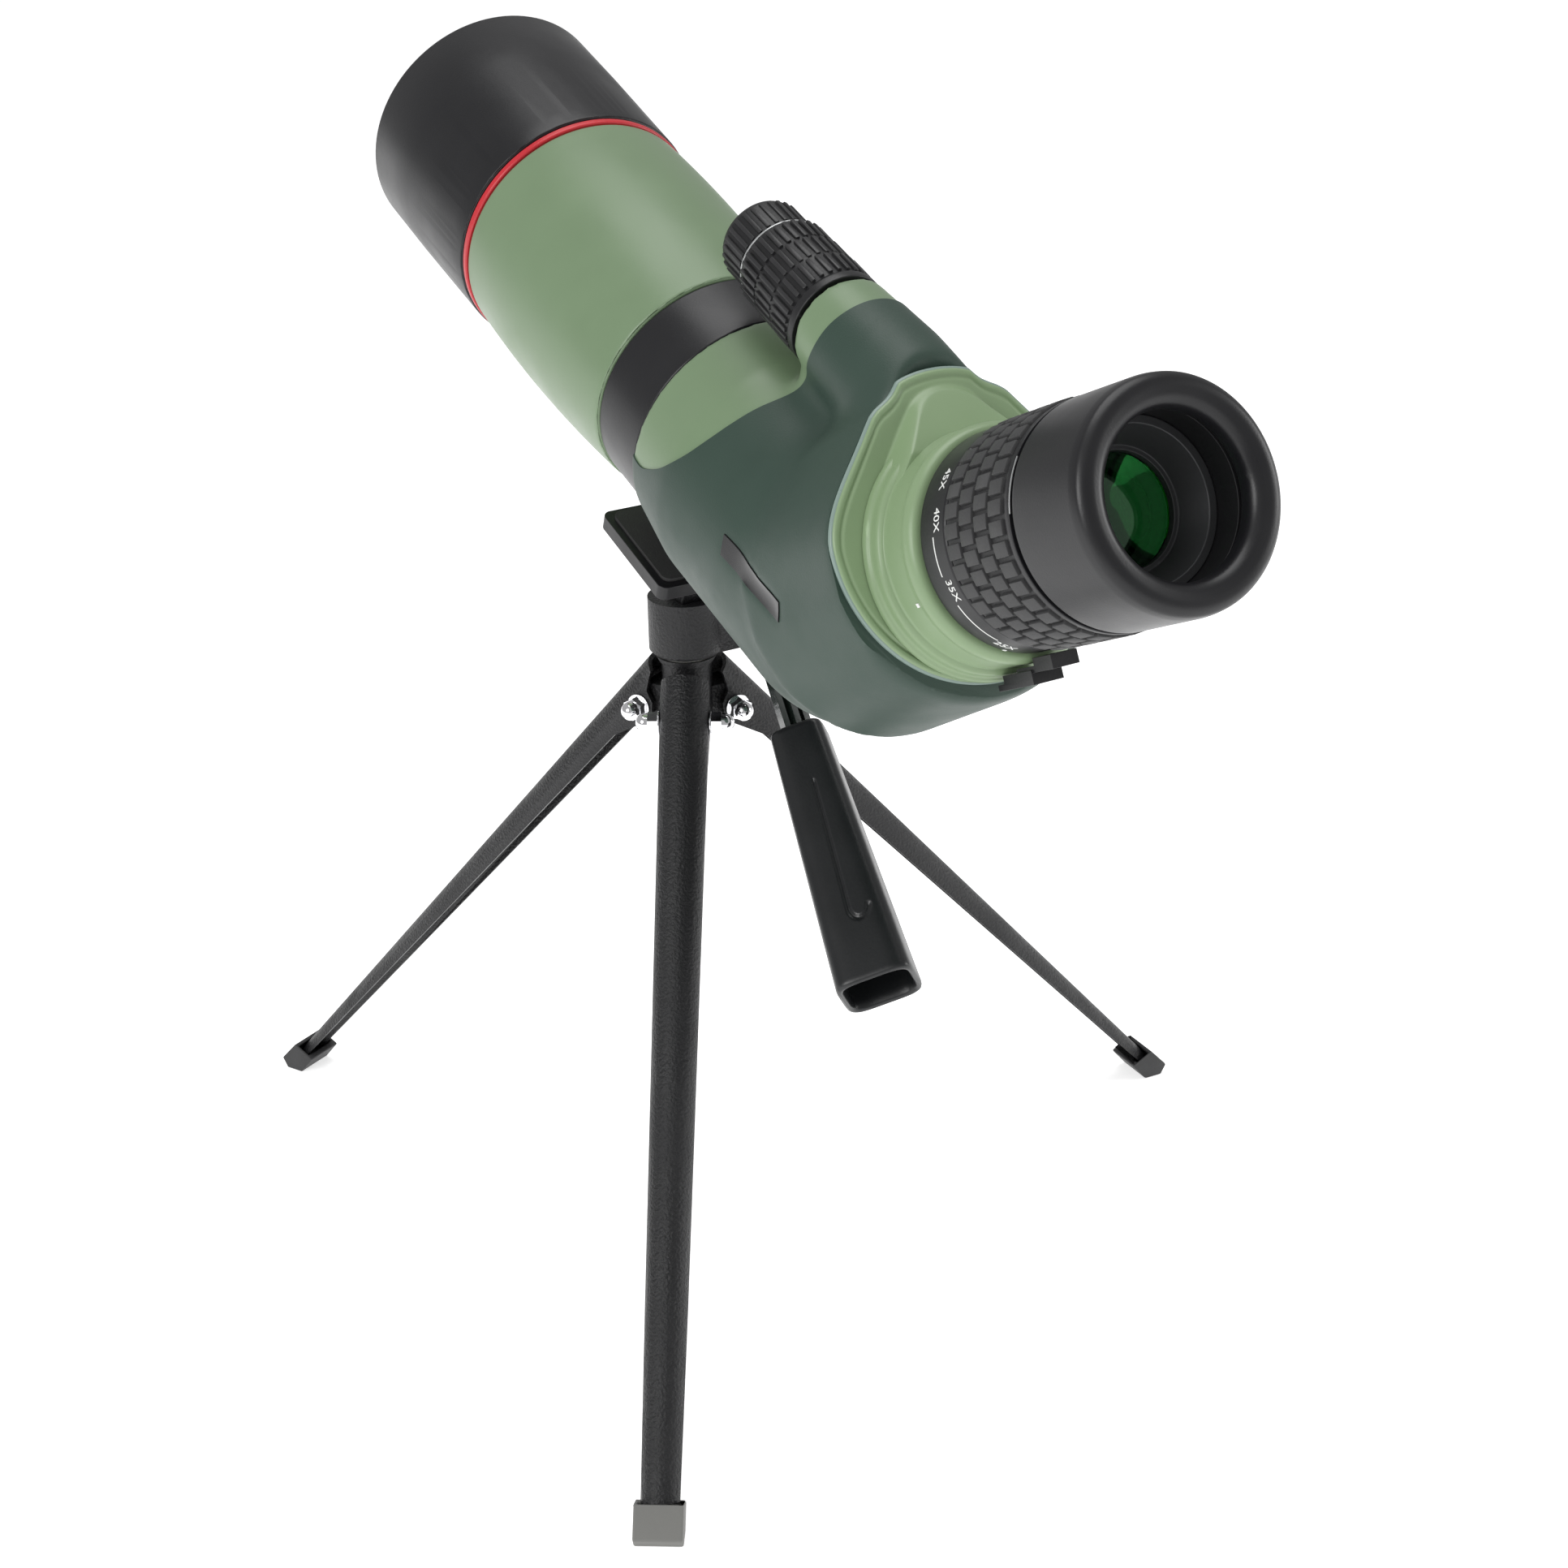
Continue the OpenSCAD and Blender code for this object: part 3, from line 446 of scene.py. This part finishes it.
def flow(piece, rounds, fill, ease):
    """Relaxes a dense mesh: hollows fill by the share fill each round, and all by ease."""
    mesh = piece.data
    count = len(mesh.vertices)
    ends = np.empty(len(mesh.edges) * 2, np.int32)
    mesh.edges.foreach_get("vertices", ends)
    ends = ends.reshape(-1, 2)
    both = np.concatenate([ends, ends[:, ::-1]])
    degree = np.bincount(both[:, 0], minlength=count)[:, None]
    co = np.empty(count * 3)
    mesh.vertices.foreach_get("co", co)
    co = co.reshape(-1, 3)
    normal = np.empty(count * 3, np.float32)
    for turn in range(rounds):
        if turn % 8 == 0:
            mesh.vertices.foreach_set("co", co.ravel())
            mesh.update()
            mesh.vertex_normals.foreach_get("vector", normal)
            n = normal.reshape(-1, 3)
        total = np.stack([np.bincount(both[:, 0], co[both[:, 1], k], count)
                          for k in range(3)], 1)
        pull = total / degree - co
        hollow = (pull * n).sum(1, keepdims=True) > 0
        soft = ease(co)[:, None] if callable(ease) else ease
        co = co + pull * np.where(hollow, fill, soft)
    mesh.vertices.foreach_set("co", co.ravel())
    mesh.update()


housing = bmesh.new()
for node in ("body_shell", "rubber_armour"):
    housing.from_mesh(frame["nodes"][node].data)
bmesh.ops.create_uvsphere(housing, u_segments=64, v_segments=32, radius=33.2,
                          matrix=on_eyepiece)


def plug(bm, place, radius, start, end):
    """A solid cylinder along a place's third axis."""
    bmesh.ops.create_cone(bm, cap_ends=True, segments=64, radius1=radius, radius2=radius,
                          depth=end - start,
                          matrix=place @ Matrix.Translation((0, 0, (start + end) / 2)))


plug(housing, on_barrel, 31, -elbow_back, 12.5)
plug(housing, on_eyepiece, 31, -5, 44)
plug(housing, on_knob, 12.2, -50, -16.6)
core = new_piece("housing_core", housing)
voxels = core.modifiers.new("one_skin", "REMESH")
voxels.mode = "VOXEL"
voxels.voxel_size = 0.0008
core = evaluated(core, "housing_core")
skin = bmesh.new()
skin.from_mesh(core.data)
largest_island(skin)
skin.to_mesh(core.data)
skin.free()
heel = np.array(elbow)


def heel_ease(co):
    """More easing at the underside of the rear end, where the rubber rounds over."""
    e = (co - heel) @ np.array(sight) / MM
    v = (co - heel) @ np.array(rise) / MM
    under = np.clip((e - 36) / 6, 0, 1) * np.clip((-14 - v) / 8, 0, 1)
    over = np.clip((e - 34) / 6, 0, 1) * np.clip((v - 34) / 6, 0, 1)
    return 0.03 + 0.3 * under + 0.25 * over


flow(core, 130, 0.55, heel_ease)


def prism(name, outline, place, low, high):
    """A straight prism over an outline drawn in a place's first two axes."""
    bm = bmesh.new()
    lower = [bm.verts.new(place @ Vector((a, b, low))) for a, b in outline]
    upper = [bm.verts.new(place @ Vector((a, b, high))) for a, b in outline]
    bm.faces.new(lower)
    bm.faces.new(upper)
    for i, vert in enumerate(lower):
        j = (i + 1) % len(lower)
        bm.faces.new((vert, lower[j], upper[j], upper[i]))
    bmesh.ops.recalc_face_normals(bm, faces=bm.faces)
    return new_piece(name, bm)


def cut(piece, tool, how, name):
    """One solid cut by, or limited to, another. The tool is used up."""
    step = piece.modifiers.new("cut", "BOOLEAN")
    step.operation = how
    step.solver = "MANIFOLD"
    step.object = tool
    made = evaluated(piece, name)
    bpy.data.objects.remove(tool)
    return made


def through(points, steps=8):
    """A smooth open curve through points."""
    run = []
    p = [np.array(q, float) for q in points]
    p = [2 * p[0] - p[1]] + p + [2 * p[-1] - p[-2]]
    for a, b, c, d in zip(p, p[1:], p[2:], p[3:]):
        for t in np.arange(steps) / steps:
            run.append(tuple(0.5 * (2 * b + (c - a) * t + (2 * a - 5 * b + 4 * c - d) * t ** 2
                                    + (3 * b - a - 3 * c + d) * t ** 3)))
    return run + [tuple(p[-2])]


def front_region(back_off):
    """Side outline of all that lies in front of the rubber's wavy edge."""
    wave = through([(14, -1), (7.3, -0.5), (2, 2.4), (-4, 7.2), (-9.8, 14.3), (-13.2, 20.5),
                    (-15.2, 25.5), (-17, 30.5), (-20.5, 37), (-23.5, 43.5), (-25.9, 51),
                    (-26.8, 58), (-27.4, 63), (-27.6, 72)])
    wave = [(s - back_off, u) for s, u in wave]
    return [(40, -1 - back_off), (40, 72)] + wave[::-1]


sideways = axes(main_origin, along, upright, across)
shell = core.copy()
shell.data = core.data.copy()
bpy.context.collection.objects.link(shell)
sink = shell.modifiers.new("under_rubber", "DISPLACE")
sink.strength = -0.0004
sink.mid_level = 0
shell = evaluated(shell, "housing_shell")
shell = cut(shell, prism("shell_side", front_region(1.2), sideways, -60, 60),
            "INTERSECT", "housing_shell")
rear_plane = 43.3
armour = cut(core, prism("shell_side", front_region(0), sideways, -60, 60),
             "DIFFERENCE", "armour_skin")
armour = cut(armour, prism("rear_cut", [(-60, -60), (60, -60), (60, 60), (-60, 60)],
                           on_eyepiece, rear_plane, 80), "DIFFERENCE", "armour_skin")
plate_outline = [(-34.2, 9.5), (-35.7, 4.5), (-64.3, 6.5), (-62.8, 11.4)]
badge = armour.copy()
badge.data = armour.data.copy()
bpy.context.collection.objects.link(badge)
proud = badge.modifiers.new("stands_proud", "DISPLACE")
proud.strength = 0.0003
proud.mid_level = 0
badge = evaluated(badge, "plain_badge")
badge = cut(badge, prism("badge_side", [(-34.4, 9.35), (-35.8, 4.65), (-64.1, 6.62),
                                        (-62.7, 11.2)], sideways, -60, -31.6),
            "INTERSECT", "plain_badge")
armour = cut(armour, prism("plate_pocket", plate_outline, sideways, -60, -31.2),
             "DIFFERENCE", "armour_skin")
green_rubber = finish("green_armour", (0.027, 0.052, 0.039), (0.42, 0.54), grain=2400,
                      depth=0.00004, vary=0.07, wear=0.2, specular=0.4)
for piece in (shell, armour, badge):
    piece.data.shade_smooth()
    piece.data.set_sharp_from_angle(angle=math.radians(40))
show(shell, green_paint, "scope", "body_shell")
show(armour, green_rubber, "scope", "rubber_armour")
badge_black = finish("badge_black", (0.01, 0.01, 0.011), (0.16, 0.24), depth=0.00001)
show(badge, badge_black, "scope", "nameplate")
soften("prism_frame", "scope", matt_black, 0.2)


# Rear plate: a painted casting that closes the housing behind the prisms. A raised hump
# runs down from its top into the stepped collar round the eyepiece.
plate_face = 45
armour_reach = BVHTree.FromObject(armour, bpy.context.evaluated_depsgraph_get())


def egg(radius, turn):
    """The plate's outline: a circle drawn in towards the top, nowhere past the rubber."""
    squeeze = 1 - 0.2 * math.sin(2 * turn) ** 2 if math.sin(turn) > 0 else 1
    spot = Vector((radius * math.cos(turn) * squeeze, radius * math.sin(turn)))
    way = spot.normalized()
    middle = Vector((0, 6.3))
    look_height, far, rubber_gap = 42.9, 70, 0.5
    start = on_eyepiece @ Vector((*(middle + way * far), look_height))
    inward = (on_eyepiece @ Vector((*middle, look_height)) - start).normalized()
    gap = armour_reach.ray_cast(start, inward)[3]
    return middle + way * min(spot.length, far - gap / MM - rubber_gap)


def hump(x, v):
    """Height of the teardrop hump above the plate: a wedge that rises into the collar."""
    if v <= 0:
        return 0
    top, wide, narrow = 26.5, 28.3, 12.0
    shoulder, slope_start, slope_length, full_height = 2.2, 38.6, 15, 7.0
    lean = math.asin((wide - narrow) / top)
    from_middle = abs(x)
    if v < from_middle * math.tan(lean):
        inside = wide - math.hypot(x, v)
    elif v > top + from_middle * math.tan(lean):
        inside = narrow - math.hypot(x, v - top)
    else:
        inside = wide - from_middle * math.cos(lean) - v * math.sin(lean)
    side = min(max(inside / shoulder, 0), 1)
    slope = min(max((slope_start - v) / slope_length, 0), 1)
    return full_height * side * side * (3 - 2 * side) * slope ** 0.9


plate = bmesh.new()
steps, sides, skirt_loops, bore, plate_radius = 64, 240, 3, 22, 35.2
rim_spots = [egg(plate_radius, 2 * math.pi * i / sides) for i in range(sides)]
rings = []
for k in range(steps + 1 + skirt_loops):
    share = min(k / steps, 1)
    ring = []
    for i in range(sides):
        turn = 2 * math.pi * i / sides
        outer = rim_spots[i]
        inner = Vector((bore * math.cos(turn), bore * math.sin(turn)))
        spot = inner.lerp(outer, share)
        height = plate_face + hump(spot.x, spot.y)
        rim = (1 - share) * (outer - inner).length
        height -= 0.35 * math.exp(-((rim - 2.2) / 0.45) ** 2)
        height -= 1.0 - math.sqrt(1 - (1 - min(rim, 1)) ** 2)
        if k > steps:
            height = plate_face - 1 - (k - steps) * 0.35
        ring.append(plate.verts.new(on_eyepiece @ Vector((*spot, height))))
    rings.append(ring)
rings.append([plate.verts.new(on_eyepiece @ Vector((bore * math.cos(2 * math.pi * i / sides),
                                                    bore * math.sin(2 * math.pi * i / sides),
                                                    plate_face - 2.05)))
              for i in range(sides)])
for a, b in zip(rings, rings[1:] + rings[:1]):
    for i in range(sides):
        j = (i + 1) % sides
        plate.faces.new((a[i], a[j], b[j], b[i]))
bmesh.ops.recalc_face_normals(plate, faces=plate.faces)
plate_green = finish("plate_green", (0.21, 0.3, 0.165), (0.28, 0.4), grain=2600,
                     depth=0.00002, vary=0.05, wear=0.3)
rear_plate = new_piece("rear_plate", plate, crisp=50)


def rounded(outline, soft):
    """The outline with each corner replaced by a short curve."""
    run = []
    for i, point in enumerate(outline):
        here = Vector(point)
        before, after = Vector(outline[i - 1]), Vector(outline[(i + 1) % len(outline)])
        if soft == 0 or here.x < 1e-6:
            run.append(here)
            continue
        a = here.lerp(before, min(soft / max((before - here).length, 1e-6), 0.45))
        b = here.lerp(after, min(soft / max((after - here).length, 1e-6), 0.45))
        run += [a.lerp(here, t).lerp(here.lerp(b, t), t) for t in (0, 0.25, 0.5, 0.75, 1)]
    return run


def turned(name, outline, place, soft=0.3, sides=160, crisp=40):
    """A lathe piece from a closed outline of (radius, position) in millimetres."""
    bm = bmesh.new()
    rings = []
    for radius, height in rounded(outline, soft):
        spots = [0] if radius < 1e-6 else [2 * math.pi * i / sides for i in range(sides)]
        rings.append([bm.verts.new(place @ Vector((radius * math.cos(t), radius * math.sin(t),
                                                   height))) for t in spots])
    for a, b in zip(rings, rings[1:] + rings[:1]):
        for i in range(sides):
            j = (i + 1) % sides
            corners = dict.fromkeys((a[i % len(a)], a[j % len(a)], b[j % len(b)], b[i % len(b)]))
            if len(corners) > 2:
                bm.faces.new(corners)
    bmesh.ops.recalc_face_normals(bm, faces=bm.faces)
    return new_piece(name, bm, crisp)


collar = turned("plate_collar", [(21.2, 45), (29.3, 45), (29.0, 46.6), (28.1, 47.3),
                                 (28.0, 49.6), (27.2, 50.3), (26.6, 50.6), (26.4, 57.6),
                                 (26.7, 58.6), (26.5, 60.2), (25.4, 61.5), (21.2, 61.5)],
                on_eyepiece, 0.9)
show(collar, plate_green, "scope")
show(rear_plate, plate_green, "scope", "eyepiece_flange")

# A thin lip between the rubber and the plate, its pale colour a painted highlight along the
# plate's edge.
lip_highlight_paint = finish("plate_lip", (0.2, 0.27, 0.24), (0.2, 0.3), depth=0.00001, wear=0.1)
lip = bmesh.new()
lip_loops = []
for out, height in ((-0.5, 43.1), (0.3, 43.1), (0.42, 43.9), (0.2, 44.35), (-0.5, 44.45)):
    lip_loops.append([lip.verts.new(on_eyepiece @ Vector((
        *(spot + (spot - Vector((0, 6.3))).normalized() * out), height))) for spot in rim_spots])
for a, b in zip(lip_loops, lip_loops[1:] + lip_loops[:1]):
    for i in range(sides):
        j = (i + 1) % sides
        lip.faces.new((a[i], a[j], b[j], b[i]))
bmesh.ops.recalc_face_normals(lip, faces=lip.faces)
show(new_piece("plate_lip", lip, crisp=60), lip_highlight_paint, "scope")


# Focus knobs: two stacked black knobs with moulded ribs on one hollow shaft. The large one
# has three staggered rows of ribs, and the small one, for fine focus, has a single row.
def rib_block(name, width, length, height, soft):
    """One rib or stud: a small block with soft edges, its foot at the origin."""
    bm = bmesh.new()
    bmesh.ops.create_cube(bm, size=1, matrix=Matrix.Diagonal(
        (width * MM, length * MM, height * MM, 1)))
    bmesh.ops.translate(bm, vec=(0, 0, height * MM / 2), verts=bm.verts)
    upper = [e for e in bm.edges if all(v.co.z > height * MM / 2 for v in e.verts)]
    upright_edges = [e for e in bm.edges if abs(e.verts[0].co.z - e.verts[1].co.z) > 1e-7]
    bmesh.ops.bevel(bm, geom=upper + upright_edges, offset=soft * MM, segments=2,
                    affect="EDGES", profile=0.5)
    piece = new_piece(name, bm)
    piece.hide_render = True
    return piece


def rib_rows_tree():
    """Geometry Nodes: rows of one block round a drum that may taper from row to row."""
    tree = bpy.data.node_groups.new("rib_rows", "GeometryNodeTree")
    face = tree.interface
    for label, kind in (("Block", "Object"), ("Finish", "Material"), ("Count", "Int"),
                        ("Rows", "Int"), ("First Row", "Float"), ("Row Step", "Float"),
                        ("Radius", "Float"), ("Taper", "Float")):
        face.new_socket(label, in_out="INPUT", socket_type="NodeSocket" + kind)
    face.new_socket("Geometry", in_out="OUTPUT", socket_type="NodeSocketGeometry")
    n, link = tree.nodes, tree.links.new

    def math_node(kind, a, b):
        node = n.new("ShaderNodeMath")
        node.operation = kind
        for socket, value in zip(node.inputs, (a, b)):
            if isinstance(value, (int, float)):
                socket.default_value = value
            else:
                link(value, socket)
        return node.outputs[0]

    entry, leave = n.new("NodeGroupInput"), n.new("NodeGroupOutput")
    total = math_node("MULTIPLY", entry.outputs["Count"], entry.outputs["Rows"])
    line = n.new("GeometryNodePoints")
    link(total, line.inputs["Count"])
    index = n.new("GeometryNodeInputIndex").outputs[0]
    row = math_node("FLOOR", math_node("DIVIDE", index, entry.outputs["Count"]), 0)
    stagger = math_node("MULTIPLY", math_node("MODULO", row, 2), 0.5)
    pitch = math_node("DIVIDE", 2 * math.pi, entry.outputs["Count"])
    turn = math_node("MULTIPLY", math_node("ADD", index, stagger), pitch)
    reach = math_node("SUBTRACT", entry.outputs["Radius"],
                      math_node("MULTIPLY", row, entry.outputs["Taper"]))
    height = math_node("ADD", entry.outputs["First Row"],
                       math_node("MULTIPLY", row, entry.outputs["Row Step"]))
    spot = n.new("ShaderNodeCombineXYZ")
    link(math_node("MULTIPLY", reach, math_node("COSINE", turn, 0)), spot.inputs["X"])
    link(math_node("MULTIPLY", reach, math_node("SINE", turn, 0)), spot.inputs["Y"])
    link(height, spot.inputs["Z"])
    move = n.new("GeometryNodeSetPosition")
    link(line.outputs[0], move.inputs["Geometry"])
    link(spot.outputs[0], move.inputs["Position"])
    lean = n.new("ShaderNodeCombineXYZ")
    lean.inputs["X"].default_value = math.pi / 2
    link(math_node("ADD", turn, math.pi / 2), lean.inputs["Z"])
    block = n.new("GeometryNodeObjectInfo")
    link(entry.outputs["Block"], block.inputs["Object"])
    spread = n.new("GeometryNodeInstanceOnPoints")
    link(move.outputs[0], spread.inputs["Points"])
    link(block.outputs["Geometry"], spread.inputs["Instance"])
    to_turn = n.new("FunctionNodeEulerToRotation")
    link(lean.outputs[0], to_turn.inputs[0])
    link(to_turn.outputs[0], spread.inputs["Rotation"])
    real = n.new("GeometryNodeRealizeInstances")
    link(spread.outputs[0], real.inputs[0])
    paint = n.new("GeometryNodeSetMaterial")
    link(real.outputs[0], paint.inputs["Geometry"])
    link(entry.outputs["Finish"], paint.inputs["Material"])
    link(paint.outputs[0], leave.inputs[0])
    return tree


rib_rows = rib_rows_tree()


def ribbed(name, place, block, material, count, rows, first, step, radius, taper=0.0):
    """Rows of ribs as one plain mesh, drawn in metres and then put in place."""
    made = bpy.data.objects.new(name + "_rows", bpy.data.meshes.new(name + "_rows"))
    bpy.context.collection.objects.link(made)
    rows_modifier = made.modifiers.new("rib_rows", "NODES")
    rows_modifier.node_group = rib_rows
    values = {"Block": block, "Finish": material, "Count": count, "Rows": rows,
              "First Row": first * MM, "Row Step": step * MM, "Radius": radius * MM,
              "Taper": taper * MM}
    for item in rib_rows.interface.items_tree:
        if item.in_out == "INPUT":
            rows_modifier[item.identifier] = values[item.name]
    made = evaluated(made, name)
    made.data.transform(place @ Matrix.Scale(1 / MM, 4))
    made.data.update()
    made.data.shade_smooth()
    made.data.set_sharp_from_angle(angle=math.radians(40))
    return made


coarse = turned("coarse_drum", [(3.1, -15.6), (12.5, -15.6), (12.5, -13.4), (11.9, -12.8),
                                (11.9, -4), (11.5, 4), (11.2, 11.2), (9.5, 11.2), (9.5, 8),
                                (3.1, 8)], on_knob, 0.35)
show(coarse, moulded_black, "coarse_drive", "coarse_knob")
coarse_rib = rib_block("coarse_rib", 1.15, 7.0, 0.75, 0.22)
show(ribbed("coarse_ribs", on_knob, coarse_rib, moulded_black, 32, 3, -8.6, 7.75, 11.75, 0.2),
     moulded_black, "coarse_drive")
# A thin pale ring between the knobs: its light grey is a painted highlight along the seam between
# them.
pale_line_paint = finish("pale_line", (0.45, 0.46, 0.46), (0.3, 0.45), metal=0.6, depth=0.00001)
ring_line = turned("knob_line", [(10.6, 11.25), (11.15, 11.25), (11.15, 11.75), (10.6, 11.75)],
                   on_knob, 0.12)
show(ring_line, pale_line_paint, "coarse_drive")
fine = turned("fine_drum", [(0, 12), (10.4, 12), (10.35, 21.6), (9.7, 22.9), (8.4, 23.4),
                            (0, 23.4)], on_knob, 0.5)
show(fine, moulded_black, "fine_drive", "fine_knob")
fine_rib = rib_block("fine_rib", 1.1, 8.6, 0.7, 0.22)
show(ribbed("fine_ribs", on_knob, fine_rib, moulded_black, 28, 1, 16.9, 0, 10.15),
     moulded_black, "fine_drive")
soften("focus_shaft", "coarse_drive", steel, 0.1)
soften("focus_bearing", "scope", brass, 0.1)
soften("fine_shaft", "fine_drive", steel, 0.1)
soften("focus_carriage", "focus_group", matt_black, 0.2)

# Eyepiece: a black tube in the collar, a spring lock under it, and a zoom ring with a
# rubber grip of staggered studs between two smooth bands.
soften("eyepiece_lock", "lock", moulded_black, 0.4)
soften("eyepiece_tube", "scope", matt_black, 0.2)
scale_ring = turned("zoom_scale_ring", [(20.6, 61.9), (24.0, 61.9), (24.6, 62.6), (24.6, 72),
                                        (24.2, 72.6), (23.4, 72.8), (23.4, 96.3), (24.7, 96.3),
                                        (24.8, 96.8), (24.8, 98), (20.6, 98)],
                    on_eyepiece, 0.3)
show(scale_ring, satin_black, "zoom_drive", "zoom_ring")
grip_sleeve = turned("zoom_grip_sleeve", [(23.5, 73), (24.3, 73), (24.3, 96), (23.5, 96)],
                     on_eyepiece, 0.2)
show(grip_sleeve, black_rubber, "zoom_drive", "zoom_grip")
stud = rib_block("grip_stud", 3.3, 4.9, 1.0, 0.32)
show(ribbed("zoom_grip_studs", on_eyepiece, stud, black_rubber, 36, 4, 75.9, 5.7, 24.2),
     black_rubber, "zoom_drive")
soften("zoom_carrier", "zoom_group", matt_black, 0.2)

# Zoom scale: magnification numbers and a dot, filled with white paint, with thin pale arcs
# between them. The index mark is on the fixed collar.
scale_white = finish("scale_white", (0.75, 0.76, 0.74), (0.45, 0.6), depth=0.00001, wear=0)


def on_ring(piece, radius, centre_turn, centre_height):
    """Wraps flat work drawn in millimetres in X and Y round the eyepiece."""
    for vert in piece.data.vertices:
        turn = centre_turn + vert.co.x / radius
        spot = Vector(((radius + vert.co.z) * math.cos(turn),
                       (radius + vert.co.z) * math.sin(turn), centre_height + vert.co.y))
        vert.co = on_eyepiece @ spot
    piece.data.update()


def numeral(words, angle, height, size=3.1):
    """One number of the scale, angle degrees round from the underside towards the left."""
    text = bpy.data.curves.new("scale_" + words, "FONT")
    text.body = words
    text.size = size
    text.extrude = 0.06
    text.align_x, text.align_y = "CENTER", "CENTER"
    maker = bpy.data.objects.new("scale_" + words, text)
    bpy.context.collection.objects.link(maker)
    made = evaluated(maker, "scale_" + words)
    bm = bmesh.new()
    bm.from_mesh(made.data)
    bmesh.ops.subdivide_edges(bm, edges=[e for e in bm.edges if e.calc_length() > 0.5], cuts=2)
    bmesh.ops.triangulate(bm, faces=bm.faces)
    bm.to_mesh(made.data)
    bm.free()
    on_ring(made, 24.62, math.radians(-90 - angle), height)
    return show(made, scale_white, "zoom_drive")


for words, angle, height in (("45X", 129.7, 69.2), ("40X", 108.1, 69.2), ("35X", 72.1, 69.2),
                             ("25X", 29.2, 66.2)):
    numeral(words, angle, height)


def band(name, radius, start, end, low, high, material, body):
    """A thin painted arc round the eyepiece, angles as for the numbers."""
    bm = bmesh.new()
    count = max(2, int(abs(end - start) / 2))
    rings = []
    for i in range(count + 1):
        turn = math.radians(-90 - start - (end - start) * i / count)
        rings.append([bm.verts.new(on_eyepiece @ Vector((r * math.cos(turn),
                                                         r * math.sin(turn), h)))
                      for r, h in ((radius - 0.2, low), (radius, low), (radius, high),
                                   (radius - 0.2, high))])
    for a, b in zip(rings, rings[1:]):
        for k in range(4):
            m = (k + 1) % 4
            bm.faces.new((a[k], a[m], b[m], b[k]))
    bm.faces.new(rings[0])
    bm.faces.new(rings[-1])
    bmesh.ops.recalc_face_normals(bm, faces=bm.faces)
    return show(new_piece(name, bm), material, body)


band("scale_arc_lower", 24.66, 36, 64, 67.6, 67.95, scale_white, "zoom_drive")
band("scale_arc_upper", 24.66, 80, 100, 67.6, 67.95, scale_white, "zoom_drive")
band("scale_dot", 24.66, 23.8, 25.8, 62.6, 63.4, scale_white, "zoom_drive")
band("index_mark", 26.62, 69.7, 71.7, 56.3, 57.3, scale_white, "scope")
band("cup_line", 24.95, 100, 128, 98.5, 98.75, pale_line_paint, "cup")

# Eyecup: a turned aluminium cup on a helical guide, smooth outside, with a rolled rim. The
# eye lens sits deep in it, in a grey conical cell.
soften("eyecup_guide", "cup_guide", moulded_black, 0.1)
cup = turned("eyecup_shell", [(22.7, 98.6), (24.2, 98.6), (24.85, 99.5), (24.85, 120.2),
                              (24.5, 122.3), (23.2, 123.4), (21.6, 123.7), (19.4, 123.3),
                              (18.0, 122.3), (17.4, 121), (17.4, 118.2), (19.4, 118.2),
                              (22.7, 117.4)], on_eyepiece, 0.7)
show(cup, satin_black, "cup", "eyecup")
cell_grey = finish("cell_grey", (0.06, 0.062, 0.065), (0.4, 0.5), metal=0.4, depth=0.00002)
soften("eye_lens_cell", "scope", cell_grey, 0.25)
